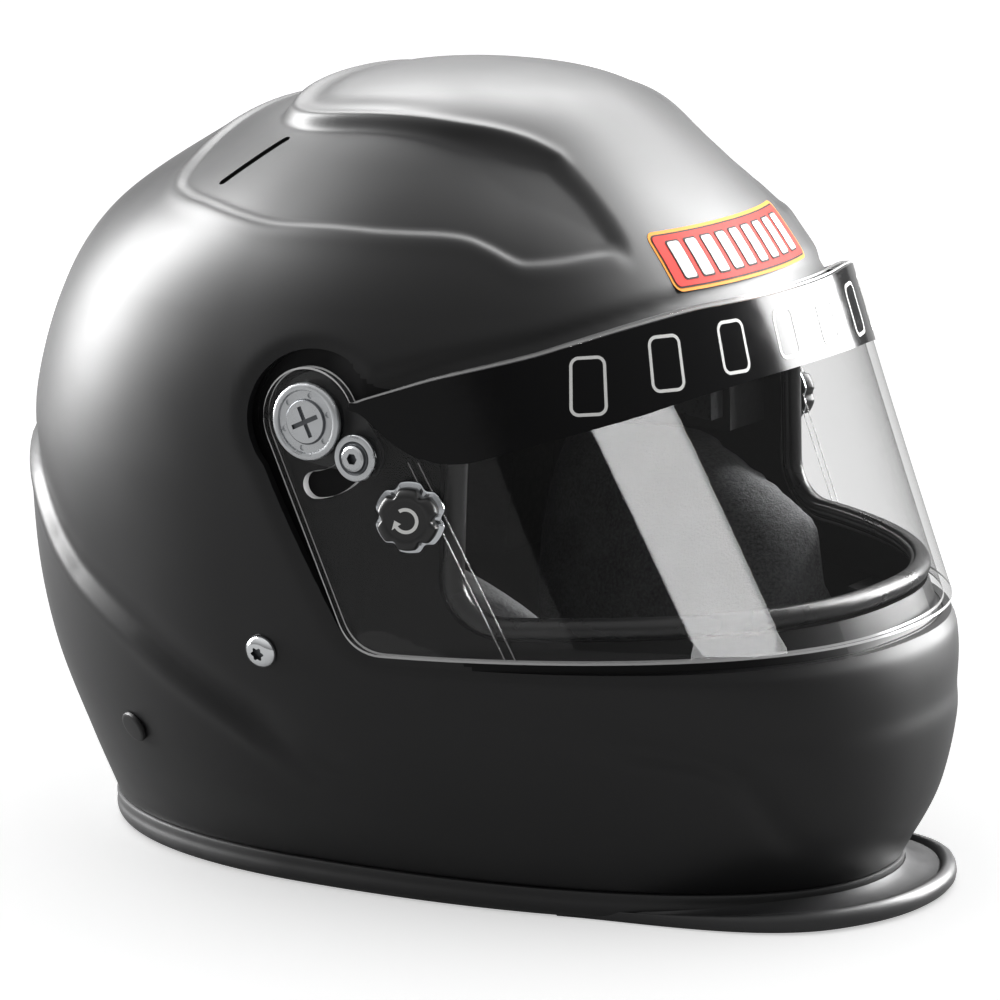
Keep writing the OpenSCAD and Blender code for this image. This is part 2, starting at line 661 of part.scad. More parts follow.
module knob_rings() {
    color("#c4c7ca") for (side = [-1, 1]) on_knob(side) translate([0, 0, 0.3]) difference() {
        cylinder(d = knob_diameter + 3, h = ring_thickness, $fn = 64);
        translate([0, 0, -1]) cylinder(d = knob_shaft + running_gap, h = 4, $fn = 48);
    }
}

// Strap screws go through the shell, the strap's steel tab and a flanged nut
tab_thickness = 1.5;
tab_depth = shell_wall + layer_gap + 1.2;
nut_depth = tab_depth + tab_thickness + 0.3;
nut_length = 3.8;
module strap_screws() {
    color("#d4d6d8") for (side = [-1, 1]) on_side(strap_hole, side) difference() {
        union() {
            translate([0, 0, 0.2]) rotate_extrude($fn = 64)
                polygon([[0, 0], [screw_head / 2, 0], [screw_head / 2, 0.8], [screw_head * 0.42, 2],
                         [screw_head * 0.3, 2.8], [0, 3]]);
            translate([0, 0, -nut_depth - nut_length])
                cylinder(d = thread, h = nut_depth + nut_length + 1, $fn = 48);
        }
        translate([0, 0, 1.2]) linear_extrude(height = 4) {
            circle(d = thread * 0.55, $fn = 24);
            for (i = [0:5]) rotate(60 * i) translate([thread * 0.29, 0]) circle(d = 1.3, $fn = 16);
        }
    }
}

module strap_nuts() {
    color("#8d8f92") for (side = [-1, 1]) on_side(strap_hole, side) difference() {
        translate([0, 0, -nut_depth - nut_length]) {
            cylinder(d = thread + 3, h = nut_length, $fn = 48);
            translate([0, 0, nut_length - 1.2]) cylinder(d = thread * 2.4, h = 1.2, $fn = 48);
        }
        translate([0, 0, -40]) cylinder(d = thread + 0.1, h = 60, $fn = 48);
    }
}

module strap_tabs() {
    color("#9a9ca0") for (side = [-1, 1]) on_side(strap_hole, side)
        translate([0, 0, -tab_depth - tab_thickness]) linear_extrude(height = tab_thickness) difference() {
            union() {
                circle(d = strap_width * 0.75, $fn = 48);
                translate([0, -strap_width / 2]) square([14, strap_width]);
            }
            circle(d = thread + 0.1, $fn = 48);
        }
}

insert_depth = shell_wall + layer_gap + 2.5;
module anchor_inserts() {
    color("#7f8184") for (side = [-1, 1]) on_side(anchor_hole, side) difference() {
        union() {
            translate([0, 0, -insert_depth]) cylinder(d = thread + 10, h = 1.5, $fn = 48);
            translate([0, 0, -insert_depth]) cylinder(d = thread + 3, h = insert_depth, $fn = 48);
        }
        translate([0, 0, -20]) cylinder(d = thread, h = 30, $fn = 48);
    }
}

module anchor_plugs() {
    color("#2b2b2c") for (side = [-1, 1]) on_side(anchor_hole, side) {
        translate([0, 0, 0.3]) cylinder(d1 = plug_diameter, d2 = plug_diameter - 0.8, h = 1.5, $fn = 48);
        translate([0, 0, -5]) cylinder(d = thread - 0.2, h = 6, $fn = 48);
    }
}

// The straps are bands bent in one plane. Each leaves its steel tab, runs down inside the shell
// and turns in under the cheek pad. Points are distance from the middle plane and height
strap_lie = tab_depth + tab_thickness + 0.4 + strap_thickness / 2;
function strap_start(z) = [side_y(strap_hole[0], z) - strap_lie, z];
strap_drop = concat([for (z = [strap_hole[1] - 9, 60, 46]) strap_start(z)],
                    [[88 * across, 29], [74 * across, 18.5]]);
ring_bars = [36, 48];
bar_spacing = ring_wire + 2;
LEFT_RUN = [[61 * across, 21], [56, 34], [52, 45], [46, 51.5], [40, 52.6], [36, 51.4]];
RIGHT_RUN = [[56 * across, 15.5], [36, 14.5], [14, 15], [-2, 21], [-7, 31], [1, 39], [16, 41], [34, 41],
             [52, 41]];

function along_band(points) =
    [for (i = [0:len(points) - 2]) each [for (t = [0, 0.34, 0.67])
     smooth_step(points[max(i - 1, 0)], points[i], points[i + 1], points[min(i + 2, len(points) - 1)], t)],
     points[len(points) - 1]];

module band(points) {
    path = along_band(points);
    n = len(path);
    function side(i, s) =
        let(t = unit(path[min(i + 1, n - 1)] - path[max(i - 1, 0)]))
        path[i] + s * strap_thickness / 2 * [-t[1], t[0]];
    polygon(concat([for (i = [0:n - 1]) side(i, 1)], [for (i = [n - 1:-1:0]) side(i, -1)]));
}

module stadium(spacing, r) {
    square([spacing, 2 * r], center = true);
    for (e = [-1, 1]) translate([e * spacing / 2, 0]) circle(r = r, $fn = 48);
}

module strap_across(side) {
    translate([strap_hole[0] - strap_width / 2, 0, 0]) rotate([90, 0, 90])
        linear_extrude(height = strap_width) scale([side, 1]) children();
}

bar_room = ring_wire / 2 + running_gap;
module strap_left() {
    color("#232325") difference() {
        union() {
            strap_across(1) band(concat(strap_drop, LEFT_RUN));
            strap_across(1) translate(ring_bars) stadium(bar_spacing, bar_room + strap_thickness);
        }
        strap_across(1) translate(ring_bars) stadium(bar_spacing, bar_room);
    }
}

module strap_right() {
    color("#232325") strap_across(-1) band(concat(strap_drop, RIGHT_RUN));
}

module strap_snap() {
    color("#3f4043") translate([strap_hole[0], -36, 41.3 + strap_thickness / 2]) difference() {
        cylinder(d = 12, h = 1.8, $fn = 48);
        translate([0, 0, 1]) cylinder(d = 7, h = 2, $fn = 48);
    }
}

// A D-ring hangs from its straight bar by two short legs
module d_ring(y) {
    r = strap_width / 2 + 3;
    leg = max(0.5, ring_reach - r);
    color("#c2c4c7") translate([strap_hole[0], y, ring_bars[1]]) {
        translate([-r, 0, 0]) rotate([0, 90, 0]) cylinder(d = ring_wire, h = 2 * r, $fn = 32);
        for (e = [-1, 1]) translate([e * r, 0, 0]) {
            sphere(d = ring_wire, $fn = 32);
            translate([0, 0, -leg]) cylinder(d = ring_wire, h = leg, $fn = 32);
        }
        translate([0, 0, -leg]) rotate([90, 0, 0]) rotate(180)
            rotate_extrude(angle = 180, $fn = 64) translate([r, 0]) circle(d = ring_wire, $fn = 32);
    }
}
module d_ring_outer() { d_ring(ring_bars[0] - bar_spacing / 2); }
module d_ring_inner() { d_ring(ring_bars[0] + bar_spacing / 2); }

outer_shell();
eye_port_gasket();
bottom_trim();
chin_spoiler();
impact_liner();
chin_bar_liner();
comfort_liner();
cheek_pad_left();
cheek_pad_right();
neck_roll();
visor();
sun_strip();
pivot_plates();
pivot_caps();
guide_screws();
lock_knob_left();
lock_knob_right();
knob_rings();
strap_tabs();
strap_screws();
strap_nuts();
anchor_inserts();
anchor_plugs();
strap_left();
strap_right();
strap_snap();
d_ring_outer();
d_ring_inner();
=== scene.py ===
# Auto racing helmet with a clear swinging visor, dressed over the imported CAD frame.
# +X is forward out of the eye port, +Y is the wearer's left, +Z is up. Shapes are worked out in
# millimetres and turned into metres when a mesh is made.
import math
import bpy
import numpy as np
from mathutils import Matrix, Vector


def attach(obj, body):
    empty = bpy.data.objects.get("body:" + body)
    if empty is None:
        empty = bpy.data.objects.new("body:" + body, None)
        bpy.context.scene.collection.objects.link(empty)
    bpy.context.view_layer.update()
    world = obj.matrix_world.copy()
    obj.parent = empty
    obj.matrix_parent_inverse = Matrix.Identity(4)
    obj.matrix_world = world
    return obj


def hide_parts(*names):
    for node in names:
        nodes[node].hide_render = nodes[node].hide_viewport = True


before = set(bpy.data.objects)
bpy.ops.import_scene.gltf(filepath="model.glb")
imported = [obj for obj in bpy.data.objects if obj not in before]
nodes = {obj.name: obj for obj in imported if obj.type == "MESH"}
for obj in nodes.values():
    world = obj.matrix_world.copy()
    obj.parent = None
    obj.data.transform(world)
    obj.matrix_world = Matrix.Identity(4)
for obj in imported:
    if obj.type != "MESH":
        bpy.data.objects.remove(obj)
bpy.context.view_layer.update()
print("frame loaded with", len(nodes), "nodes")

# Colours, nodes and meshes


def paint(hexText, alpha=1.0):
    # sRGB hex to linear: c / 12.92 below 0.04045, else ((c + 0.055) / 1.055) ^ 2.4
    parts = [int(hexText[i:i + 2], 16) / 255 for i in (1, 3, 5)]
    linear = [c / 12.92 if c <= 0.04045 else ((c + 0.055) / 1.055) ** 2.4 for c in parts]
    return (*linear, alpha)


def addNode(tree, kind, settings=None, links=None, drives=None):
    # settings: socket name or node property to value; links: socket name to another node's output;
    # drives: name of the new node's own output to the socket that it feeds
    node = tree.nodes.new(kind)
    for key, value in (settings or {}).items():
        if isinstance(key, str) and hasattr(node, key) and key not in node.inputs:
            setattr(node, key, value)
        else:
            node.inputs[key].default_value = value
    for key, output in (links or {}).items():
        tree.links.new(output, node.inputs[key])
    for key, socket in (drives or {}).items():
        tree.links.new(node.outputs[key], socket)
    return node


def startMaterial(name, settings):
    # a material with its tree and its shader, whose own sockets take the settings
    material = bpy.data.materials.new(name)
    material.use_nodes = True
    tree = material.node_tree
    shader = tree.nodes["Principled BSDF"]
    for key, value in settings.items():
        shader.inputs[key].default_value = value
    return material, tree, shader


def millimetres(tree):
    # Object coordinates counted in millimetres
    place = addNode(tree, "ShaderNodeTexCoord")
    counted = addNode(tree, "ShaderNodeMapping", {"Scale": (1000.0,) * 3}, {"Vector": place.outputs["Object"]})
    return counted.outputs["Vector"]


def meshObject(name, points, faces, material, smooth=True, sharpAngle=35.0, uv=None):
    # points in millimetres, faces as an array of quads or a list of rings, turned to face outwards
    mesh = bpy.data.meshes.new(name)
    mesh.from_pydata((np.asarray(points, float) * 0.001).tolist(), [], [list(map(int, f)) for f in faces])
    mesh.update()
    if uv is not None:
        layer = mesh.uv_layers.new(name="UVMap")
        corners = np.empty(len(mesh.loops), np.int32)
        mesh.loops.foreach_get("vertex_index", corners)
        layer.data.foreach_set("uv", np.asarray(uv, np.float32)[corners].ravel())
    mesh.calc_loop_triangles()
    corners = np.empty(len(mesh.loop_triangles) * 3, np.int32)
    mesh.loop_triangles.foreach_get("vertices", corners)
    a, b, c = np.asarray(points, float)[corners.reshape(-1, 3)].transpose(1, 0, 2)
    if np.einsum("ij,ij->", a - a.mean(0), np.cross(b - a.mean(0), c - a.mean(0))) < 0:
        mesh.flip_normals()  # a closed form whose signed volume is negative is inside out
    if material:
        mesh.materials.append(material)
    piece = bpy.data.objects.new(name, mesh)
    bpy.context.scene.collection.objects.link(piece)
    if smooth:
        mesh.shade_smooth()
        mesh.set_sharp_from_angle(angle=math.radians(sharpAngle))
    return piece


def gridFaces(rows, columns, closeRows=False, closeColumns=False, start=0):
    # quads over a grid whose points run row by row, wound so that rows x columns gives the normal
    i = np.arange(rows if closeRows else rows - 1)[:, None]
    j = np.arange(columns if closeColumns else columns - 1)[None, :]
    i2, j2 = (i + 1) % rows, (j + 1) % columns
    quads = np.stack([i * columns + j, i2 * columns + j, i2 * columns + j2, i * columns + j2], -1)
    return quads.reshape(-1, 4) + start


def closedFaces(rows, columns, start=0):
    # a tube of rings with both ends filled, all faces wound the same way round
    first, last = (list(range(k, k + columns)) for k in (start, start + (rows - 1) * columns))
    return gridFaces(rows, columns, closeColumns=True, start=start).tolist() + [first, last[::-1]]


def applied(piece):
    # the piece's mesh with its modifiers worked in
    bpy.context.view_layer.update()
    graph = bpy.context.evaluated_depsgraph_get()
    mesh = bpy.data.meshes.new_from_object(piece.evaluated_get(graph), depsgraph=graph)
    old = piece.data
    piece.modifiers.clear()
    piece.data = mesh
    mesh.name = piece.name
    bpy.data.meshes.remove(old)
    return piece


def carve(piece, cutters, operation="DIFFERENCE"):
    # the piece less its cutters, or what they share with it, and the cutters are used up
    for k, cutter in enumerate(cutters):
        cut = piece.modifiers.new("cut%d" % k, "BOOLEAN")
        cut.operation = operation
        cut.solver = "MANIFOLD"
        cut.object = cutter
    before = len(piece.data.polygons)
    applied(piece)
    print("cut", piece.name, before, "->", len(piece.data.polygons), "faces")
    for cutter in cutters:
        bpy.data.objects.remove(cutter)
    return piece


def finish(piece, *materials):
    # the piece's own material on all its faces, and any further ones in the slots after it
    piece.data.materials.clear()
    for material in materials:
        piece.data.materials.append(material)
    piece.data.polygons.foreach_set("material_index", np.zeros(len(piece.data.polygons), np.int32))
    return piece


def smoothAgain(piece, sharpAngle=35.0):
    # smooth shading with the edges past the angle kept sharp
    piece.data.shade_smooth()
    piece.data.set_sharp_from_angle(angle=math.radians(sharpAngle))
    return piece


def bevelRim(piece, width, segments=2, angle=40.0):
    # the edges past the angle rounded over a width in millimetres
    bevel = piece.modifiers.new("rim", "BEVEL")
    bevel.width = width * 0.001
    bevel.segments = segments
    bevel.limit_method = "ANGLE"
    bevel.angle_limit = math.radians(angle)
    bevel.use_clamp_overlap = True
    applied(piece)
    return smoothAgain(piece)


def fit(piece, body, slot, *standsFor):
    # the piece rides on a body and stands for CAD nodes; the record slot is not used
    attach(piece, body)
    if standsFor:
        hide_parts(*standsFor)
    return piece


def ease(v):
    # smooth step: 3 t^2 - 2 t^3 between 0 and 1
    t = np.clip(v, 0, 1)
    return t * t * (3 - 2 * t)


def pathDistance(x, y, line):
    # least distance from points to a polyline, over all its segments at once
    line = np.asarray(line, float)
    a, d = line[:-1], np.diff(line, axis=0)
    px, py = x[..., None] - a[:, 0], y[..., None] - a[:, 1]
    t = np.clip((px * d[:, 0] + py * d[:, 1]) / (d ** 2).sum(1), 0, 1)
    return np.sqrt((px - t * d[:, 0]) ** 2 + (py - t * d[:, 1]) ** 2).min(-1)


def insidePath(x, y, line):
    # even-odd count of edges to the right of each point
    a = np.asarray(line, float)
    b = np.roll(a, -1, axis=0)
    spans = (a[:, 1] > y[..., None]) != (b[:, 1] > y[..., None])
    rise = np.where(b[:, 1] == a[:, 1], 1, b[:, 1] - a[:, 1])
    crossing = x[..., None] < a[:, 0] + (b[:, 0] - a[:, 0]) * (y[..., None] - a[:, 1]) / rise
    return (spans & crossing).sum(-1) % 2 == 1


def unitRows(v):
    # each row over its own length
    return v / np.maximum(np.linalg.norm(v, axis=-1, keepdims=True), 1e-9)


def betweenPoints(a, b, c, d, t):
    # Catmull-Rom: the cubic from b to c at share t, which leaves b along c - a and meets c along d - b
    return 0.5 * (2 * b + (c - a) * t + (2 * a - 5 * b + 4 * c - d) * t ** 2 + (3 * b - a - 3 * c + d) * t ** 3)


def softened(values, reach):
    # running mean under a raised cosine that reaches so many steps to either side
    kernel = np.hanning(2 * reach + 1)
    return np.convolve(np.pad(values, reach, mode="edge"), kernel / kernel.sum(), "valid")


def faceNormal(surface, x, z, side=1):
    # direction square to a face y = surface(x, z), from its slopes over 1 mm: (-dy/dx, side, -dy/dz)
    slopeX = surface(x + 0.5, z) - surface(x - 0.5, z)
    slopeZ = surface(x, z + 0.5) - surface(x, z - 0.5)
    return unitRows(np.stack(np.broadcast_arrays(-slopeX, side, -slopeZ), -1))


def circleRound(axis, turn):
    # unit circle square to an axis, at the turning angles
    e = unitRows(np.cross([0, 0, 1.0], axis))
    return np.cos(turn)[:, None] * e + np.sin(turn)[:, None] * np.cross(axis, e)


# The shell's form, with the same numbers as the CAD source

shell = {
    "trimHeight": 10.0, "height": 256.0, "wall": 4.0, "middleX": -26.0, "crownX": -15.0, "crownFrom": 0.74,
    "frontFullness": 2.2, "backFullness": 2.1,
    # height, back, front, half width
    "form": np.array([[0, -144, 146, 86], [26, -149, 158, 105], [60, -159, 161, 120], [96, -164, 152, 128],
                      [138, -162, 131, 132], [178, -150, 109, 128], [208, -131, 86, 114], [233, -95, 59, 86],
                      [248, -66, 37, 60], [254.5, -42, 12, 33], [256, -15, -15, 0]], float),
    "around": 420, "innerAround": 144,
    # edge of the panel let in round the crown, seen from above: outer side, then crown side
    "panelOuter": [(-78, -20), (-78, 30), (-77, 60), (-74, 82), (-65, 92), (-52, 99), (-36, 105), (-18, 107.5),
                   (8, 104), (24, 99), (40, 91), (47, 88.5), (56, 85.5), (61, 81.5), (68, 72), (75, 58),
                   (75.5, 52), (66, 49), (57, 47.5), (48, 47)],
    "panelCrown": [(48, 47), (42, 50), (32, 55), (20, 60.5), (8, 64), (-8, 67), (-26, 68.5), (-38, 66), (-47, 59),
                   (-52, 47), (-55, 28), (-56, -20)],
    "panelDepth": 2.6,
    # lines of the grooves, seen from the side
    "backCrease": [(-175, 150), (-160, 148), (-144, 141), (-128, 130), (-110, 113), (-98, 104.5), (-84, 97),
                   (-68, 88.5), (-52, 78.5), (-40, 71.5), (-29, 65), (-15, 56), (-6, 49)],
    "chinCrease": [(84, 67), (94, 64.5), (113, 61), (121, 59), (127, 55), (131, 50), (133.5, 43), (135.5, 35),
                   (138, 26), (140, 16)],
    "chinBand": [(40, 79), (59, 73), (74, 69), (97, 69), (123, 67.5), (146, 65.5), (175, 67)],
}
form = shell["form"]
topRow = len(form) - 1
mirrored = form[[topRow - 1, topRow - 2]][:, [0, 2, 1, 3]] * [1, 1, 1, -1]
allRows = np.vstack([2 * form[0] - form[1], form, mirrored])


def section(s):
    # Catmull-Rom curve through the rows: height, back, front and half width at row number s
    s = np.asarray(s, float)
    i = np.clip(np.floor(s), 0, topRow - 1).astype(int)
    t = (s - i)[..., None]
    r = betweenPoints(*(allRows[i + k] for k in range(4)), t)
    return r[..., 0] + shell["trimHeight"], r[..., 1], r[..., 2], r[..., 3]


rowNumbers = np.linspace(0, topRow, 4001)
rowHeights = section(rowNumbers)[0]


def sectionAt(z):
    # row number of a height, read back from the curve through the rows
    return np.interp(z, rowHeights, rowNumbers)


def middleOf(z):
    # the plan's middle moves from middleX to crownX over the topmost part of the height
    share = np.maximum(0, (z - shell["trimHeight"]) / shell["height"] - shell["crownFrom"]) / (1 - shell["crownFrom"])
    return shell["middleX"] + (shell["crownX"] - shell["middleX"]) * share


def signedPower(v, p):
    # |v|^p with the sign of v
    return np.sign(v) * np.abs(v) ** p


def basePoint(s, a):
    # superellipse of each section: x = middle + reach cos(a)^(2/n), y = half width sin(a)^(2/n)
    z, back, front, half = section(s)
    m = middleOf(z)
    c = np.cos(a)
    n = np.where(c > 0, shell["frontFullness"], shell["backFullness"])
    reach = np.where(c > 0, front - m, m - back)
    x, y = m + reach * signedPower(c, 2 / n), half * signedPower(np.sin(a), 2 / n)
    return np.stack(np.broadcast_arrays(x, y, z + 0 * a), -1)


def baseNormal(s, a):
    # cross product of the steps around and up the surface
    up = basePoint(np.minimum(s + 0.03, topRow), a) - basePoint(np.maximum(s - 0.03, 0), a)
    round_ = basePoint(s, a + 0.006) - basePoint(s, a - 0.006)
    n = unitRows(np.cross(round_, up))
    return np.where((np.asarray(s) > topRow - 0.02)[..., None], np.array([0.0, 0.0, 1.0]), n)


def sideY(x, z):
    # half width of the shell at x and z, from the same superellipse
    zz, back, front, half = section(sectionAt(z))
    m = middleOf(zz)
    n = np.where(x > m, shell["frontFullness"], shell["backFullness"])
    reach = np.where(x > m, front - m, m - back)
    return half * np.maximum(0, 1 - np.minimum(1, np.abs(x - m) / reach) ** n) ** (1 / n)


def frontX(y, z):
    # distance forward of the shell at y and z, from the same superellipse
    zz, _, front, half = section(sectionAt(z))
    m = middleOf(zz)
    n = shell["frontFullness"]
    return m + (front - m) * np.maximum(0, 1 - np.minimum(1, np.abs(y) / half) ** n) ** (1 / n)


def curveThrough(points, count):
    # curve through the points of the side or plan view, count steps for each stretch, straight on at its ends
    q = np.asarray(points, float)
    q = np.vstack([2 * q[0] - q[1], q, 2 * q[-1] - q[-2]])
    t = np.arange(count)[None, :, None] / count
    curve = betweenPoints(*(q[k:len(q) - 3 + k][:, None] for k in range(4)), t)
    return np.vstack([curve.reshape(-1, 2), q[-2:-1]])


panelOuter, panelCrown = (curveThrough(shell[key], 5) for key in ("panelOuter", "panelCrown"))
panelWhole = np.vstack([panelOuter, panelCrown[1:]])


def panelRelief(p):
    # inside the panel's edge the surface steps down: a narrow step outside, a wider slope at the crown's
    # front, and a low lip along the crown side
    out = np.zeros(p.shape[:-1])
    near = p[..., 2] > 185
    x, y = p[near][:, 0], np.abs(p[near][:, 1])
    outer, crown = pathDistance(x, y, panelOuter), pathDistance(x, y, panelCrown)
    far = np.where(insidePath(x, y, panelWhole), 1.0, -1.0) * np.minimum(outer, crown)
    atCrown = ease(0.5 + (outer - crown) / 12)  # 1 beside the crown side, 0 beside the outer side
    front = ease((x - 46) / 8) * ease((60 - y) / 8)  # 1 along the soft front end of the panel
    width = 3.4 + (2.2 + 5 * ease((x - 18) / 22)) * atCrown + 5 * front * (1 - atCrown)
    step = ease(0.42 + far / width)
    across = outer / np.maximum(outer + crown, 1e-6)
    deep = shell["panelDepth"] * (0.5 + 0.5 * across) + 0.8 * np.exp(-((x - 40) ** 2 + (y - 58) ** 2) / 24 ** 2)
    lip = 0.8 * np.exp(-((far + 2.4) / 2.8) ** 2) * ease((60 - x) / 25) * atCrown
    dip = 0.6 * np.exp(-((far + 9) / 4.5) ** 2) * ease((20 - x) / 40) * atCrown
    rim = 0.3 * np.exp(-((far + 2.6) / 2.2) ** 2) * (1 - atCrown) * (1 - front)
    out[near] = -deep * step + lip - dip + rim
    return out


def creaseRelief(p, line, depth, above, below, bank=0.0, fades=(True, True)):
    # a groove that falls over one width above its line and rises over another below it
    x, z = p[..., 0], p[..., 2]
    line = np.asarray(line, float)
    far = pathDistance(x, z, line)
    over = z > np.interp(x, line[:, 0], line[:, 1])
    width = np.where(over, above, below)
    fade = np.ones_like(x)
    for end, used in zip((line[0], line[-1]), fades):
        if used:
            fade = np.minimum(fade, ease(np.hypot(x - end[0], z - end[1]) / 26))
    ridge = np.where(over, 0, bank * np.exp(-((far - 2.2 * below) / (1.6 * below)) ** 2))
    return (-depth * np.exp(-(far / width) ** 2) + ridge) * fade


def surfaceGrid(rows, around):
    # row numbers, points and normals of the bare shell over even plan angles
    a = np.arange(around) * 2 * np.pi / around
    s = rows[:, None] + 0 * a
    return s, basePoint(s, a), baseNormal(s, a + 0 * s)


def dome(name, rows, around, depth, relief=False, skirt=0.0):
    # solid under the surface at a depth, closed at the crown and across its flat bottom
    _, p, n = surfaceGrid(rows, around)
    p = p + n * ((shellRelief(p)[..., None] if relief else 0) - depth)
    p[0, :, 2] = section(rows[0])[0]
    rings = [p[:1] - [0, 0, skirt], p] if skirt else [p]
    grid = np.concatenate(rings).reshape(-1, 3)
    count = len(grid) // around
    pole = [shell["crownX"], 0, section(topRow)[0] - depth]
    faces = gridFaces(count, around, closeColumns=True)[:, ::-1].tolist()
    last = (count - 1) * around
    faces += [[last + j, last + (j + 1) % around, count * around] for j in range(around)]
    faces.append(list(range(around))[::-1])
    return meshObject(name, np.vstack([grid, pole]), faces, None)


def spacedRows(spans):
    # row numbers laid closer where the surface has steps: (from, to, count) per span
    return np.concatenate([np.linspace(a, b, n, endpoint=False) for a, b, n in spans] + [[spans[-1][1]]])


# The visor's face and the outlines that follow it

visor = {
    "side": 128.6, "bendX": 21.5, "thickness": 3.0, "low": 93.0, "high": 201.0, "lean": 23.3,
    # powers of the face's curve in plan, how u is spread over it, and millimetres for each u past the bends
    "bend": 1.4, "curve": 0.43, "spread": 1.25, "pastBend": 60.0,
    "pivot": (6.0, 167.0), "pivotRadius": 17.2, "foot": (31.5, 109.0), "footRadius": 16.0,
    "guideRadius": 20.6, "guideAngle": -29.0, "travel": 55.0, "slotWidth": 8.8,
    # where the slot's walls lie: reach off its middle line, middle angle and half its angle
    "slotWalls": (6.5, -56.0, 44.0),
    "knob": (41.0, 139.0), "pivotBore": 5.4, "knobBore": 3.2,
    "pocketFloor": 6.2, "pocketMargin": 4.0, "clearing": 22.5,
    "top": [(20, 173.5), (26, 176), (46, 183), (72, 190), (91, 197), (103, 201), (200, 201)],
    "stripLow": [(21, 174), (27, 170), (33, 164), (41, 158.5), (50, 156), (58, 156.5), (76, 162.5), (96, 169),
                 (114, 176), (121, 178), (260, 178)],
}
guide = tuple(place + visor["guideRadius"] * share(math.radians(visor["guideAngle"]))
              for place, share in zip(visor["pivot"], (math.cos, math.sin)))
frontAtLow = float(section(sectionAt(visor["low"]))[2]) - 0.5


def visorFront(z):
    # the foremost x of the visor's face, which leans back from its lower edge
    return frontAtLow - (z - visor["low"]) * math.tan(math.radians(visor["lean"]))


def visorPoint(u, z, depth):
    # u runs from -1 at the right bend over 0 at the front to 1 at the left bend; t = cos(u 90 deg)^spread is
    # the share of the way forward, and the half width is side (1 - t^bend)^curve. Past the bends it is flat
    u, z, depth = np.broadcast_arrays(np.asarray(u, float), z, depth)
    t = np.abs(np.cos(np.minimum(np.abs(u), 1) * np.pi / 2)) ** visor["spread"]
    flat = np.abs(u) > 1
    forward = visorFront(z) - depth - visor["bendX"]
    x = visor["bendX"] + np.where(flat, (1 - np.abs(u)) * visor["pastBend"], forward * t)
    y = (visor["side"] - depth) * np.where(flat, 1.0, np.maximum(0, 1 - t ** visor["bend"]) ** visor["curve"])
    return np.stack([x, y * np.sign(u), z + 0 * u], -1)


def visorShare(x, z, depth):
    # share of the way forward from the bend at x
    return np.clip((x - visor["bendX"]) / (visorFront(z) - depth - visor["bendX"]), 0, 1)


def visorY(x, z, depth=0.0):
    # half width of the visor at x and z, from the same formula
    return (visor["side"] - depth) * (1 - visorShare(x, z, depth) ** visor["bend"]) ** visor["curve"]


def visorU(x, z, depth=0.0):
    # the u of a place on the left half, turned back from its share
    return np.arccos(visorShare(x, z, depth) ** (1 / visor["spread"])) / (np.pi / 2)


sampleX = np.linspace(visor["pivot"][0] - visor["pivotRadius"], 200, 8001)


def outlineTables():
    # lowest and highest z of the visor at each x: a round lobe at the pivot, a straight back edge that
    # touches the lobe and the round foot, and the polyline along the top
    (px, pz), r, (fx, fz), q = visor["pivot"], visor["pivotRadius"], visor["foot"], visor["footRadius"]
    x = sampleX
    lobe = np.sqrt(np.maximum(0, r ** 2 - (x - px) ** 2))
    topLine = np.interp(x, *zip(*visor["top"]))
    topLine = np.where(x > 34, softened(topLine, 180), topLine)
    high = np.where(x < px + r, np.maximum(pz + lobe, np.where(x > 20, topLine, -1e9)), topLine)
    away = math.hypot(fx - px, fz - pz)
    turn = math.atan2(fz - pz, fx - px) - math.acos((r - q) / away)
    nx, nz = math.cos(turn), math.sin(turn)
    ax, az, bx, bz = px + r * nx, pz + r * nz, fx + q * nx, fz + q * nz
    edge = az + (x - ax) * (bz - az) / (bx - ax)
    foot = fz - np.sqrt(np.maximum(0, q ** 2 - (x - fx) ** 2))
    low = np.where(x < ax, pz - lobe, np.where(x < bx, edge, np.where(x < fx, foot, visor["low"])))
    return low, high


visorLowTable, visorHighTable = outlineTables()


def grownTables(margin):
    # the outline moved out by a margin: the highest z over a disc of that radius, and the lowest
    step = sampleX[1] - sampleX[0]
    reach = int(round(margin / step))
    pad = 2 * reach
    x = sampleX[0] + step * np.arange(-pad, len(sampleX) + pad)
    low, high = (np.pad(table, pad, constant_values=np.nan) for table in (visorLowTable, visorHighTable))
    bestLow, bestHigh = np.full(len(x), 1e9), np.full(len(x), -1e9)
    for shift in range(-reach, reach + 1, max(1, reach // 40)):
        lift = math.sqrt(max(0, margin ** 2 - (shift * step) ** 2))
        bestLow = np.fmin(bestLow, np.roll(low, shift) - lift)
        bestHigh = np.fmax(bestHigh, np.roll(high, shift) + lift)
    keep = slice(pad - reach + 2, len(sampleX) + pad - reach)
    return x[keep], bestLow[keep], bestHigh[keep]


def outlineColumns(tables, columns, endX=None):
    # places round the visor, with the outline's low and high edge at each, found by fixed-point steps
    x, lowT, highT = tables
    startX = x[0] + 0.02 if endX is None else endX
    sideCount, frontCount = columns
    sideX = startX + (visor["bendX"] - startX) * (1 - np.cos(np.linspace(0, np.pi / 2, sideCount, endpoint=False)))
    sideU = 1 + (visor["bendX"] - sideX) / visor["pastBend"]
    u = np.concatenate([-sideU, np.linspace(-1, 1, frontCount + 1), sideU[::-1]])
    low = np.full(u.shape, visor["low"])
    high = np.full(u.shape, visor["high"] - 10)
    for _ in range(12):
        low = np.interp(visorPoint(u, low, 0.0)[:, 0], x, lowT)
        high = np.interp(visorPoint(u, high, 0.0)[:, 0], x, highT)
    return u, low, high


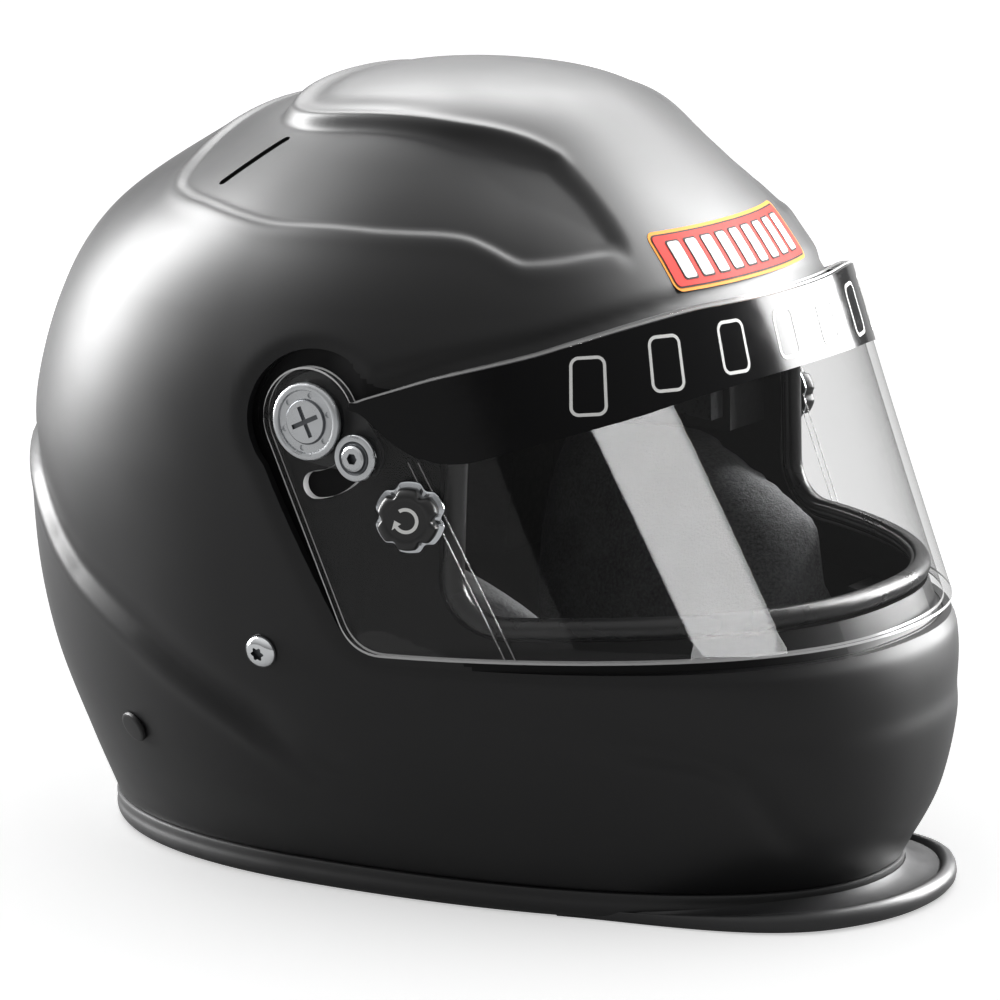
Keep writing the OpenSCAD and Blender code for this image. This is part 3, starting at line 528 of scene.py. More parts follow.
def visorSolid(name, outer, inner, tables, columns=(30, 120), rows=24, material=None, endX=None):
    # a wall between two depths under the visor's face, trimmed to an outline seen from the side
    u, low, high = outlineColumns(tables, columns, endX)
    share = np.linspace(0, 1, rows + 1)
    z = low[:, None] + (high - low)[:, None] * share
    face = visorPoint(u[:, None], z, outer)
    back = visorPoint(u[:, None], z, inner)
    loop = np.concatenate([face, back[:, ::-1]], 1)
    return meshObject(name, loop.reshape(-1, 3), closedFaces(*loop.shape[:2]), material, sharpAngle=30)


def block(name, ring, farRing):
    # closed block between two rings of as many points each
    n = len(ring)
    faces = [[k, (k + 1) % n, n + (k + 1) % n, n + k] for k in range(n)]
    faces += [list(range(n))[::-1], list(range(n, 2 * n))]
    return meshObject(name, np.vstack([ring, farRing]), faces, None, smooth=False)


def prism(name, outline, y0=-200, y1=200):
    # block with an outline seen from the side, from y0 to y1
    return block(name, *(np.insert(np.asarray(outline, float), 1, y, axis=1) for y in (y0, y1)))


def rodAlong(start, direction, length, radius, sides=48):
    # closed cylinder from a point along a direction
    d = np.asarray(direction, float) / np.linalg.norm(direction)
    ring = np.asarray(start, float) - radius * circleRound(d, np.arange(sides) * 2 * np.pi / sides)
    return block("rod", ring, ring + d * length)


def throughSides(place, radius, inner=100.0, sides=48):
    # rods straight out through both sides at (x, z), each from a distance off the middle
    return [rodAlong((place[0], side * inner, place[1]), (0, side, 0), 60, radius, sides) for side in (-1, 1)]


def turned(name, profile, centre, axis, material, sides=96, lobes=None, sharpAngle=30.0):
    # profile of (radius, height) revolved round an axis; lobes scales the radius by the turning angle
    d = np.asarray(axis, float) / np.linalg.norm(axis)
    profile = np.asarray(profile, float)
    a = np.arange(sides) * 2 * np.pi / sides
    share = np.ones((len(profile), sides)) if lobes is None else lobes(profile, a)
    ring = (profile[:, :1] * share)[..., None] * circleRound(d, a) + profile[:, 1][:, None, None] * d
    grid = (np.asarray(centre, float) + ring).reshape(-1, 3)
    return meshObject(name, grid, closedFaces(len(profile), sides), material, sharpAngle=sharpAngle)


def carried(name, path, out, up, profile, material, closed=False, uvScale=None, sharpAngle=35.0):
    # profile of (out, up) carried along a path: point = path + out * outward + up * upward
    path, out, up = (np.asarray(v, float) for v in (path, out, up))
    profile = np.asarray(profile, float)
    if profile.ndim == 2:
        profile = np.broadcast_to(profile, (len(path), *profile.shape))
    grid = path[:, None] + profile[..., :1] * out[:, None] + profile[..., 1:] * up[:, None]
    n, m = grid.shape[:2]
    faces = gridFaces(n, m, True, True) if closed else closedFaces(n, m)
    uv = None
    if uvScale:
        along = np.concatenate([[0], np.cumsum(np.linalg.norm(np.diff(path, axis=0), axis=1))])
        uv = np.stack(np.broadcast_arrays(along[:, None], profile[..., 0]), -1).reshape(-1, 2) / uvScale
    return meshObject(name, grid.reshape(-1, 3), faces, material, sharpAngle=sharpAngle, uv=uv)


def smoothLine(points, count, closed=False):
    # curve through the points, count steps for each stretch, its end points counted twice
    p = np.asarray(points, float)
    n = len(p)
    i = np.arange(n if closed else n - 1)
    t = np.arange(count)[None, :, None] / count
    near = (lambda k: p[k % n]) if closed else (lambda k: p[np.clip(k, 0, n - 1)])
    curve = betweenPoints(*(near(i + k)[:, None] for k in (-1, 0, 1, 2)), t).reshape(-1, p.shape[1])
    return curve if closed else np.vstack([curve, p[-1:]])


def tangents(path, closed=False):
    # direction from the point before to the point after
    if closed:
        return unitRows(np.roll(path, -1, 0) - np.roll(path, 1, 0))
    return unitRows(np.gradient(path, axis=0))


def roundRect(w, h, r, count=6):
    # corners of radius r round a rectangle, anticlockwise
    a = np.linspace(0, np.pi / 2, count + 1)
    parts = [np.column_stack([sx * (w / 2 - r) + r * np.cos(a + q), sz * (h / 2 - r) + r * np.sin(a + q)])
             for sx, sz, q in ((1, 1, 0), (-1, 1, np.pi / 2), (-1, -1, np.pi), (1, -1, 1.5 * np.pi))]
    return np.vstack(parts)


print("helpers ready")

# Materials, each named for what the real one is


def grainedMaterial(name, settings, grain, cloud, drift, relief):
    # fine grain as a low relief, and a roughness that drifts in clouds. grain: texture node, its settings and
    # output; cloud: settings of the clouds' noise, or None for the grain itself; drift: the part of the
    # clouds that counts, then how much less and more rough they make it; relief: height in metres, strength
    material, tree, shader = startMaterial(name, settings)
    mm = millimetres(tree)
    kind, look, output = grain
    fine = addNode(tree, kind, look, {"Vector": mm}).outputs[output]
    slow = addNode(tree, "ShaderNodeTexNoise", cloud, {"Vector": mm}).outputs["Fac"] if cloud else fine
    low, high, less, more = drift
    addNode(tree, "ShaderNodeMapRange",
            {"From Min": low, "From Max": high, "To Min": max(0.02, settings["Roughness"] - less),
             "To Max": settings["Roughness"] + more},
            {"Value": slow}, {"Result": shader.inputs["Roughness"]})
    addNode(tree, "ShaderNodeBump", dict(zip(("Distance", "Strength"), relief)), {"Height": fine},
            {"Normal": shader.inputs["Normal"]})
    return material


def satinPaint(name, colour, roughness, specular=0.36, peelDepth=0.00003):
    # two-pack paint sprayed on a composite shell, satin: soft wide highlights with a faint orange peel
    look = {"Base Color": paint(colour), "Roughness": roughness, "Specular IOR Level": specular, "IOR": 1.5}
    peel = ("ShaderNodeTexNoise", {"Scale": 0.9, "Detail": 3.0, "Roughness": 0.6}, "Fac")
    return grainedMaterial(name, look, peel, {"Scale": 0.02, "Detail": 2.0}, (0.3, 0.7, 0.03, 0.04), (peelDepth, 0.25))


def mouldedRubber(name, colour, roughness):
    # moulded EPDM rubber: a dull black skin with a fine even grain and paler rubbed patches
    look = {"Base Color": paint(colour), "Roughness": roughness, "IOR": 1.52}
    skin = ("ShaderNodeTexNoise", {"Scale": 2.2, "Detail": 4.0}, "Fac")
    return grainedMaterial(name, look, skin, {"Scale": 0.06, "Detail": 3.0}, (0.35, 0.7, 0.05, 0.08), (0.00005, 0.7))


def clearSheet(name, tint, far, low=0.012, gloss=0.02, paintedHighlight=0.0):
    # polycarbonate sheet with a hard coat: see-through, with mirror reflections that grow where the sheet
    # turns away, low + 0.12 facing^5, and the darker far tone there, where more of it is looked through
    material = bpy.data.materials.new(name)
    material.use_nodes = True
    tree = material.node_tree
    tree.nodes.clear()
    through = addNode(tree, "ShaderNodeBsdfTransparent")
    shine = addNode(tree, "ShaderNodeBsdfGlossy", {"Color": (1, 1, 1, 1), "Roughness": gloss})
    facing = addNode(tree, "ShaderNodeLayerWeight", {"Blend": 0.5})
    steep = addNode(tree, "ShaderNodeMath", {"operation": "POWER", 1: 5.0}, {0: facing.outputs["Facing"]})
    addNode(tree, "ShaderNodeMix", {"data_type": "RGBA", 6: paint(tint), 7: paint(far)},
            {0: steep.outputs["Value"]}, {2: through.inputs["Color"]})
    share = addNode(tree, "ShaderNodeMath", {"operation": "MULTIPLY_ADD", 1: 0.12, 2: low},
                    {0: steep.outputs["Value"]})
    mix = addNode(tree, "ShaderNodeMixShader", {},
                  {0: share.outputs["Value"], 1: through.outputs["BSDF"], 2: shine.outputs["BSDF"]})
    if paintedHighlight:
        # painted highlight: a share of white diffuse, standing in for the light that runs inside the sheet and comes
        # out at its sawn edges
        rough = addNode(tree, "ShaderNodeBsdfDiffuse", {"Color": paint("#f2f2f2")})
        mix = addNode(tree, "ShaderNodeMixShader", {0: paintedHighlight}, {1: mix.outputs["Shader"], 2: rough.outputs["BSDF"]})
    addNode(tree, "ShaderNodeOutputMaterial", {}, {"Surface": mix.outputs["Shader"]})
    return material


def polishedMetal(name, colour, roughness, streak=0.0, streakScale=1.5):
    # machined or plated steel: a metal mirror softened by fine tool marks and small stains
    look = {"Base Color": paint(colour), "Metallic": 1.0, "Roughness": roughness}
    marks = ("ShaderNodeTexNoise", {"Scale": streakScale, "Detail": 5.0}, "Fac")
    relief = (0.00002 + streak * 0.00004, 0.5)
    return grainedMaterial(name, look, marks, {"Scale": 0.25, "Detail": 3.0}, (0.3, 0.7, 0.05, 0.1), relief)


def mouldedPlastic(name, colour, roughness):
    # glass-filled nylon, moulded: black with a fine spark-eroded grain
    look = {"Base Color": paint(colour), "Roughness": roughness, "IOR": 1.53}
    grain = ("ShaderNodeTexVoronoi", {"Scale": 3.0}, "Distance")
    return grainedMaterial(name, look, grain, {"Scale": 0.3, "Detail": 2.0}, (0.0, 1.0, 0.04, 0.06), (0.00003, 0.5))


def printedFilm(name, colour, roughness=0.5, specular=0.08):
    # vinyl film, cut and laid on: even colour under a thin laminate that lies in slow waves
    look = {"Base Color": paint(colour), "Roughness": roughness, "Specular IOR Level": specular}
    wave = ("ShaderNodeTexNoise", {"Scale": 0.15, "Detail": 2.0}, "Fac")
    return grainedMaterial(name, look, wave, None, (0.0, 1.0, 0.03, 0.05), (0.00004, 0.5))


def beadFoam(name, colour):
    # expanded polystyrene: pressed beads of about 3 mm, each a little domed, with darker joints
    material, tree, shader = startMaterial(name, {"Base Color": paint(colour), "Roughness": 0.85})
    mm = millimetres(tree)
    beads = addNode(tree, "ShaderNodeTexVoronoi", {"Scale": 0.36}, {"Vector": mm})
    joint = addNode(tree, "ShaderNodeMapRange", {"From Min": 0.0, "From Max": 0.75, "To Min": 1.0, "To Max": 0.6},
                    {"Value": beads.outputs["Distance"]})
    addNode(tree, "ShaderNodeMix", {"data_type": "RGBA", "blend_type": "MULTIPLY", 0: 1.0, 6: paint(colour)},
            {7: joint.outputs["Result"]}, {2: shader.inputs["Base Color"]})
    addNode(tree, "ShaderNodeBump", {"Distance": 0.0004, "Strength": 0.8}, {"Height": joint.outputs["Result"]},
            {"Normal": shader.inputs["Normal"]})
    return material


def clothMaterial(start, value, relief, tones, height=None):
    # a cloth's tone follows its texture's value between two stops of (value, colour), and so does its relief
    material, tree, shader = start
    ramp = addNode(tree, "ShaderNodeValToRGB", {}, {"Fac": value}, {"Color": shader.inputs["Base Color"]})
    for element, (stop, colour) in zip(ramp.color_ramp.elements, tones):
        element.position, element.color = stop, paint(colour)
    addNode(tree, "ShaderNodeBump", dict(zip(("Distance", "Strength"), relief)),
            {"Height": height or ramp.outputs["Color"]}, {"Normal": shader.inputs["Normal"]})
    return material


def fleece(name, low, high):
    # brushed polyester fleece: a soft pile in clumps of about 1 mm, light at the tips and dark between
    start = startMaterial(name, {"Base Color": paint(high), "Roughness": 0.95, "Sheen Weight": 0.35,
                                 "Sheen Roughness": 0.6, "Specular IOR Level": 0.15})
    mm = millimetres(start[1])
    clumps = addNode(start[1], "ShaderNodeTexNoise", {"Scale": 0.9, "Detail": 6.0, "Roughness": 0.75}, {"Vector": mm})
    brushed = addNode(start[1], "ShaderNodeTexNoise", {"Scale": 0.07, "Detail": 3.0}, {"Vector": mm})
    both = addNode(start[1], "ShaderNodeMath", {"operation": "MULTIPLY_ADD", 1: 0.45},
                   {0: brushed.outputs["Fac"], 2: clumps.outputs["Fac"]})
    return clothMaterial(start, both.outputs["Value"], (0.0012, 0.9), ((0.5, low), (0.95, high)), clumps.outputs["Fac"])


def wickingKnit(name, low, high):
    # warp-knitted lining with small open cells, one each 2.4 mm so that they show
    start = startMaterial(name, {"Base Color": paint(high), "Roughness": 0.9, "Sheen Weight": 0.25,
                                 "Specular IOR Level": 0.2})
    cells = addNode(start[1], "ShaderNodeTexVoronoi", {"Scale": 0.42}, {"Vector": millimetres(start[1])})
    return clothMaterial(start, cells.outputs["Distance"], (0.0005, 0.7), ((0.12, low), (0.4, high)))


def wovenWebbing(name, low, high):
    # nylon webbing in a herringbone weave, 1.6 mm ribs across the band
    start = startMaterial(name, {"Base Color": paint(high), "Roughness": 0.75, "Sheen Weight": 0.2})
    flat = addNode(start[1], "ShaderNodeTexCoord").outputs["UV"]
    ribs = addNode(start[1], "ShaderNodeTexWave",
                   {"bands_direction": "DIAGONAL", "Scale": 1.0, "Distortion": 0.4, "Detail": 1.0}, {"Vector": flat})
    threads = addNode(start[1], "ShaderNodeTexNoise", {"Scale": 9.0, "Detail": 3.0}, {"Vector": flat})
    both = addNode(start[1], "ShaderNodeMath", {"operation": "MULTIPLY_ADD", 1: 0.5},
                   {0: threads.outputs["Fac"], 2: ribs.outputs["Fac"]}).outputs["Value"]
    return clothMaterial(start, both, (0.0003, 0.8), ((0.0, low), (1.0, high)), both)


shellPaint = satinPaint("satin_black_paint", "#0e0e0f", 0.44)
# darker and duller paint for the pocket's floor under the visor: painted shade in the recess
pocketShadePaint = satinPaint("pocket_floor_painted_shade", "#070708", 0.6, 0.2, 0.000004)
trimRubber = mouldedRubber("epdm_trim", "#1a1a1b", 0.5)
gasketRubber = mouldedRubber("epdm_gasket", "#1c1c1d", 0.3)
spoilerRubber = mouldedRubber("moulded_polyurethane", "#262627", 0.4)
visorSheet = clearSheet("coated_polycarbonate", "#f6f6f6", "#c8c8c8")
# sawn edges: more mirror, a greyer tone and a white diffuse share that paints a highlight on them
cutEdgeHighlight = clearSheet("cut_polycarbonate_edge", "#c8c8c8", "#b4b4b4", 0.15, 0.2, 0.28)
# bend lines: a greyer tone with a white diffuse share that paints a highlight along them
bentSheetHighlight = clearSheet("bent_polycarbonate_painted_highlight", "#bcbcbc", "#9c9c9c", 0.06, 0.1, 0.12)
stripFilm = printedFilm("black_vinyl_strip", "#060607", 0.12, 0.18)
turnedAluminium = polishedMetal("turned_aluminium", "#bec0c2", 0.27, 0.3, 2.0)
# darker, duller metal for the faces in slots, grooves and sockets of the turned pieces: painted shade in the recesses
recessShadeMetal = polishedMetal("metal_painted_recess_shade", "#606265", 0.42, 0.3, 2.0)
brightRing = polishedMetal("bright_anodised_ring", "#c6c9cc", 0.14, 0.0, 1.0)
chromedSteel = polishedMetal("chromed_steel", "#dcdee0", 0.12, 0.0, 1.0)
platedSteel = polishedMetal("zinc_plated_steel", "#a6a8ab", 0.34, 0.5, 1.2)
blackNylon = mouldedPlastic("glass_filled_nylon", "#101011", 0.36)
plateNylon = mouldedPlastic("moulded_plate_nylon", "#19191b", 0.45)
whitePrint = printedFilm("white_print", "#d9d9d7")
redFilm = printedFilm("red_film", "#c8281b")
amberFilm = printedFilm("amber_film", "#e8922c")
darkFilm = printedFilm("dark_film", "#2a0d0a")
liningFoam = beadFoam("expanded_polystyrene", "#222223")
cheekFleece = fleece("brushed_fleece", "#232324", "#808183")
rollFleece = fleece("brushed_fleece_dark", "#1a1a1b", "#4a4b4d")
liningKnit = wickingKnit("wicking_knit", "#0e0e0f", "#303133")
strapWebbing = wovenWebbing("nylon_webbing", "#0d0d0e", "#2c2c2f")
print("materials ready")

# Shell: the dome less its cavity, the visor's pocket, the eye port, the vents and the screw holes
port = {"back": 46.5, "low": 99.0, "high": 188.0, "corner": 20.0}
hardware = {
    "strapHole": (-15.0, 89.0), "anchorHole": (-80.0, 51.0), "vent": (-46.0, 242.0), "ventRise": (0.27, 0.27),
    "ventLength": 25.0, "ventWidth": 3.0, "panDepth": 10.2,
    # radii of the holes through the shell
    "strapBore": 3.2, "anchorBore": 4.7, "pivotBore": 2.6, "guideBore": 2.1,
}


def portOutline(grow=0.0):
    # the eye port seen from the side, with round back corners, open to the front
    r = port["corner"] + grow
    back, low, high = port["back"] - grow, port["low"] - grow, port["high"] + grow
    a = np.radians(np.linspace(0, 90, 13))
    top = np.column_stack([back + r - r * np.sin(a), high - r + r * np.cos(a)])
    foot = np.column_stack([back + r - r * np.cos(a), low + r - r * np.sin(a)])
    return np.vstack([[[260, high]], top, foot, [[260, low]]])


pocketTables = grownTables(visor["pocketMargin"])


def pocketEdge():
    # the pocket's outline as one closed line, with the round clearing at the pivot
    px, pz = visor["pivot"]
    r = visor["clearing"]
    x = np.concatenate([px - r * np.cos(np.linspace(0, 1.2, 24)), np.arange(px - r * math.cos(1.2) + 0.5, 198, 0.6)])
    ring = np.sqrt(np.maximum(0, r ** 2 - (x - px) ** 2))
    near = np.abs(x - px) < r + 0.001
    tableX, low, high = pocketTables
    low = np.interp(x, tableX, low, left=1e9)
    high = np.interp(x, tableX, high, left=-1e9)
    low = np.where(near, np.minimum(low, pz - ring), low)
    high = np.where(near, np.maximum(high, pz + ring), high)
    return np.vstack([np.column_stack([x, high]), np.column_stack([x, low])[::-1]])


pocketLine = pocketEdge()


def softEdge(p):
    # the paint rolls over towards the pocket's edge: a drop of r (1 - d / w)^2 within w of the edge,
    # and the full drop inside the outline, where the pocket is cut
    x, z = p[..., 0], p[..., 2]
    near = (x > -30) & (z > 80) & (z < 216) & (x < 190)
    out = np.zeros_like(x)
    d = pathDistance(x[near], z[near], pocketLine) * np.where(insidePath(x[near], z[near], pocketLine), -1, 1)
    out[near] = -1.3 * np.clip(1 - np.maximum(d, 0) / 5.5, 0, 1) ** 2
    return out


def shellRelief(p):
    # all that stands off the bare form: the crown's panel, the three creases and the pocket's soft edge
    return (panelRelief(p)
            + creaseRelief(p, shell["backCrease"], 2.4, 9.0, 2.6, 0.9, (False, True))
            + creaseRelief(p, shell["chinCrease"], 2.1, 5.5, 3.8)
            + creaseRelief(p, shell["chinBand"], 0.9, 9.0, 5.0, 0.0, (True, False))
            + softEdge(p))


shellRows = spacedRows([(0.0, 4.5, 84), (4.5, 5.7, 30), (5.7, 8.6, 86), (8.6, 9.97, 12)])
coarseRows = spacedRows([(0.0, 8.0, 40), (8.0, 9.9, 14)])
outerShell = dome("outer_shell_paint", shellRows, shell["around"], 0, relief=True)
cavity = dome("cavity", coarseRows, shell["innerAround"], shell["wall"], skirt=10)
wideTables = grownTables(visor["pocketMargin"] + shell["wall"])
pan = visorSolid("pan", visor["pocketFloor"] - 1, hardware["panDepth"], wideTables, rows=12)
carve(cavity, [pan])
pocket = visorSolid("pocket", -40, visor["pocketFloor"], pocketTables, rows=12)


def onShell(place, side):
    # point on the shell's side at (x, z), and the direction square to it there
    return np.array([place[0], side * sideY(*place), place[1]]), faceNormal(sideY, *place, side)


def ventCut(side):
    # a slit from end to end with round ends, square to the shell's face
    (x, z), (run, rise) = hardware["vent"], np.array(hardware["ventRise"]) * hardware["ventLength"]
    n = faceNormal(sideY, x, z, side)
    ends = [onShell((x + e * run, z + e * rise), side)[0] for e in (-1, 1)]
    along = unitRows(ends[1] - ends[0])
    a = np.linspace(-np.pi / 2, np.pi / 2, 9)[:, None]
    cap = hardware["ventWidth"] / 2 * (np.cos(a) * along + np.sin(a) * np.cross(n, along))
    outline = np.vstack([ends[1] + cap, ends[0] - cap])
    return block("vent", outline - 45 * n, outline + 45 * n)


def sideRods(place, radius, length=20.0):
    # rods through the shell's sides, square to its face
    pairs = [onShell(place, side) for side in (-1, 1)]
    return [rodAlong(spot - n * length / 2, n, length, radius) for spot, n in pairs]


cutters = [cavity, pocket, prism("port", portOutline())]
cutters += throughSides(visor["pivot"], visor["clearing"], visor["side"] - visor["pocketFloor"], 96)
cutters += [ventCut(side) for side in (-1, 1)]
cutters += sideRods(hardware["strapHole"], hardware["strapBore"])
cutters += sideRods(hardware["anchorHole"], hardware["anchorBore"])
cutters += throughSides(visor["pivot"], hardware["pivotBore"]) + throughSides(guide, hardware["guideBore"])
carve(outerShell, cutters)
smoothAgain(finish(outerShell, shellPaint, pocketShadePaint), 32)


def faceTable(piece):
    # middle of each face, in millimetres, and its normal
    count = len(piece.data.polygons)
    middle, normal = np.empty(count * 3, np.float32), np.empty(count * 3, np.float32)
    piece.data.polygons.foreach_get("center", middle)
    piece.data.polygons.foreach_get("normal", normal)
    return middle.reshape(-1, 3) * 1000, normal.reshape(-1, 3)


def paintWhere(piece, chosen):
    # the chosen faces take the piece's second material
    piece.data.polygons.foreach_set("material_index", chosen.astype(np.int32))


middle, normal = faceTable(outerShell)
offFloor = np.abs(visorY(middle[:, 0], middle[:, 2], visor["pocketFloor"]) - np.abs(middle[:, 1]))
# the pocket's floor takes the darker, duller paint, painted shade under the visor
paintWhere(outerShell, insidePath(middle[:, 0], middle[:, 2], pocketLine) & (offFloor < 0.06))
fit(outerShell, "helmet", "shell_black", "outer_shell")
print("shell", len(outerShell.data.polygons), "faces")

# Visor: the sheet less its pivot holes, guide slots and knob holes
visorTables = (sampleX, visorLowTable, visorHighTable)
visorPiece = visorSolid("visor_sheet", 0, visor["thickness"], visorTables, columns=(40, 150), rows=20)


def slotOutline(width):
    # kidney round the pivot: arcs at the guide's radius, closed by half circles
    start, stop = math.radians(visor["guideAngle"] - visor["travel"]), math.radians(visor["guideAngle"])
    a = np.linspace(start, stop, 40)
    r, w = visor["guideRadius"], width / 2
    cap = np.linspace(0, np.pi, 16)[1:-1]
    outer = (r + w) * np.column_stack([np.cos(a), np.sin(a)])
    inner = (r - w) * np.column_stack([np.cos(a[::-1]), np.sin(a[::-1])])
    ends = []
    for turn, first in ((stop, stop), (start, start + np.pi)):
        middle = r * np.array([math.cos(turn), math.sin(turn)])
        ends.append(middle + w * np.column_stack([np.cos(first + cap), np.sin(first + cap)]))
    return np.vstack([outer, ends[0], inner, ends[1]]) + visor["pivot"]


def knobFrame(side):
    # place of the lock knob on the visor's face and the direction square to it
    x, z = visor["knob"]
    return np.array([x, side * visorY(x, z), z]), faceNormal(visorY, x, z, side)


visorCuts = [prism("slot", slotOutline(visor["slotWidth"]))]
visorCuts += throughSides(visor["pivot"], visor["pivotBore"], sides=64)
for side in (-1, 1):
    spot, n = knobFrame(side)
    visorCuts.append(rodAlong(spot - 10 * n, n, 20, visor["knobBore"]))
carve(visorPiece, visorCuts)
bevelRim(finish(visorPiece, visorSheet, cutEdgeHighlight), 0.45, 2, 50)
middle, normal = faceTable(visorPiece)
faceOut = faceNormal(visorY, middle[:, 0], middle[:, 2], np.sign(middle[:, 1]))
turn = np.abs((faceOut * normal).sum(1))
reach = np.stack([middle[:, 0] - visor["pivot"][0], middle[:, 2] - visor["pivot"][1]])
wallReach, wallMiddle, wallHalf = visor["slotWalls"]
atSlot = np.abs(np.hypot(*reach) - visor["guideRadius"]) < wallReach
atSlot &= np.abs(np.degrees(np.arctan2(reach[1], reach[0])) - wallMiddle) < wallHalf
paintWhere(visorPiece, (turn < 0.93) & atSlot)  # the slots' walls take the sawn edge material, whose white diffuse share is a painted highlight
fit(visorPiece, "visor", "visor_clear", "visor")
print("visor", len(visorPiece.data.polygons), "faces")

# Dark strip along the visor's top edge, with plain slanted marks
strip = {
    "lift": 0.1, "thickness": 0.7, "marks": 8, "markWidth": 12.0, "markHeight": 19.0, "markLine": 1.0,
    "markProud": 0.12, "markCorner": 3.0, "slant": 0.22, "pitch": 28.0,
    # the marks are shorter at the middle, by this share, and full from this distance on
    "shorter": 0.22, "shorterOver": 110.0,
}
stripX = np.linspace(24, 199, 4000)
stripLow = softened(np.interp(stripX, *zip(*visor["stripLow"])), 80)
stripHigh = np.interp(stripX, sampleX, visorHighTable) - 0.8
stripTables = (stripX, stripLow, np.maximum(stripHigh, stripLow + 0.05))
stripPiece = visorSolid("visor_strip", -strip["lift"] - strip["thickness"], -strip["lift"], stripTables,
                        columns=(4, 150), rows=8, material=stripFilm, endX=27.0)
fit(stripPiece, "visor", "strip_black", "sun_strip")

arcU = np.linspace(-1, 1, 801)
arcPoints = visorPoint(arcU, 190.0, 0.0)
arcLength = np.concatenate([[0], np.cumsum(np.linalg.norm(np.diff(arcPoints, axis=0), axis=1))])
arcLength -= arcLength[400]


def onVisorFace(s, z, lift):
    # point at distance s along the visor's face from its middle, at height z, lifted off the face
    u = np.interp(s, arcLength, arcU)
    return visorPoint(u, z, -lift)


def stripMiddle(s):
    # height of the strip's middle line at distance s along the face
    z = 185.0
    for _ in range(6):
        x = float(onVisorFace(s, z, 0.0)[0])
        z = 0.5 * (np.interp(x, stripX, stripLow) + np.interp(x, stripX, stripHigh))
    return float(z)


def slantedMark(centre):
    # outline of a leaning bar with round corners, a thin ring on the strip
    middle = stripMiddle(centre)
    line, corner = strip["markLine"], strip["markCorner"]
    tall = strip["markHeight"] * (1 - strip["shorter"] * (1 - min(1, abs(centre) / strip["shorterOver"])))
    outer = roundRect(strip["markWidth"], tall, corner, 8)
    inner = roundRect(strip["markWidth"] - 2 * line, tall - 2 * line, corner - line, 8)
    foot = strip["lift"] + strip["thickness"] + 0.02
    top = foot + strip["markProud"]
    rings = [onVisorFace(centre + path[:, 0] + strip["slant"] * path[:, 1], middle + path[:, 1], lift)
             for path, lift in ((outer, foot), (outer, top), (inner, top), (inner, foot))]
    return np.stack(rings, 1)


def joined(name, grids, material, closed=False):
    # several tubes with filled ends, or closed rings, as one mesh
    points, faces, start = [], [], 0
    for grid in grids:
        n, m = grid.shape[:2]
        points.append(grid.reshape(-1, 3))
        faces += gridFaces(n, m, True, True, start).tolist() if closed else closedFaces(n, m, start)
        start += n * m
    return meshObject(name, np.vstack(points), faces, material, sharpAngle=40)


marks = [slantedMark((k - (strip["marks"] - 1) / 2) * strip["pitch"]) for k in range(strip["marks"])]
fit(joined("strip_marks", marks, whitePrint, closed=True), "visor", "strip_black")

# Two fine lines where the sheet was bent, a little proud of its face, in a material whose white diffuse share paints a
# highlight along them
bendLines = {"from": (41.5, 156.3), "to": (71.4, 94.2), "gap": 3.0, "width": 0.36, "proud": 0.12, "sunk": 0.1}


def bendRibbon(shift, side):
    # four-sided ribbon along a straight line in the side view, laid on the visor's face
    s = np.linspace(0, 1, 50)[:, None]
    line = (1 - s) * np.array(bendLines["from"]) + s * np.array(bendLines["to"]) + [shift, 0]
    low, high = -bendLines["sunk"], bendLines["proud"]
    corners = [(-1, low), (-1, high), (1, high), (1, low)]
    rings = []
    for across, lift in corners:
        x, z = line[:, 0] + across * bendLines["width"] / 2, line[:, 1]
        rings.append(np.column_stack([x, side * visorY(x, z, -lift), z]))
    return np.stack(rings, 1)


def edgeHighlightRibbons():
    # painted highlight along the sheet's cut edge: a fine bright ribbon in the sawn edge material round its outer face
    # and one round its inner face
    u, low, high = outlineColumns(visorTables, (60, 150))
    tubes = []
    for depth, out in ((0.0, -1), (visor["thickness"], 1)):
        for z0, z1 in ((low, low + 0.7), (high - 0.6, high)):
            corners = [(z0, -0.08 * out), (z0, 0.1 * out), (z1, 0.1 * out), (z1, -0.08 * out)]
            tubes.append(np.stack([visorPoint(u, z, depth + d) for z, d in corners], 1))
    return tubes


fit(joined("visor_edge_painted_highlights", edgeHighlightRibbons(), cutEdgeHighlight), "visor", "visor_clear")
for side, name in ((-1, "right"), (1, "left")):
    ribbons = [bendRibbon(shift, side) for shift in (-bendLines["gap"] / 2, bendLines["gap"] / 2)]
    fit(joined("visor_bend_" + name, ribbons, bentSheetHighlight), "visor", "visor_clear")

# Gasket: a ribbed rubber tube round the eye port, under the visor
gasket = {
    "radius": 3.5, "depth": 7.5, "inset": 3.8,
    # dips between the ribs: turn from the outer face, depth as a share of the radius, width, in radians
    "ribs": ((0.0, 0.13, 0.16), (0.8, 0.16, 0.18), (-0.8, 0.16, 0.18)),
}


def gasketPath():
    # middle of the tube: along the port's top, round its back corners and along its bottom, on both sides
    low, high = port["low"] + gasket["inset"], port["high"] - gasket["inset"]
    back, turn, depth = port["back"] + gasket["inset"], port["corner"] - gasket["inset"], gasket["depth"]
    bends = []
    for z, first in ((high - turn, 90), (low + turn, 180)):
        a = np.radians(np.linspace(first, first + 90, 14))
        x, z = back + turn + turn * np.cos(a), z + turn * np.sin(a)
        bends.append(np.stack([x, visorY(x, z, depth), z], -1))
    uTop, uLow = (float(visorU(back + turn, z, depth)) for z in (high, low))
    half = np.vstack([
        visorPoint(np.linspace(0, uTop, 40, endpoint=False), high, depth),
        *bends,
        visorPoint(np.linspace(uLow, 0, 41)[1:], low, depth)])
    return np.vstack([half, (half * [1, -1, 1])[-2:0:-1]])


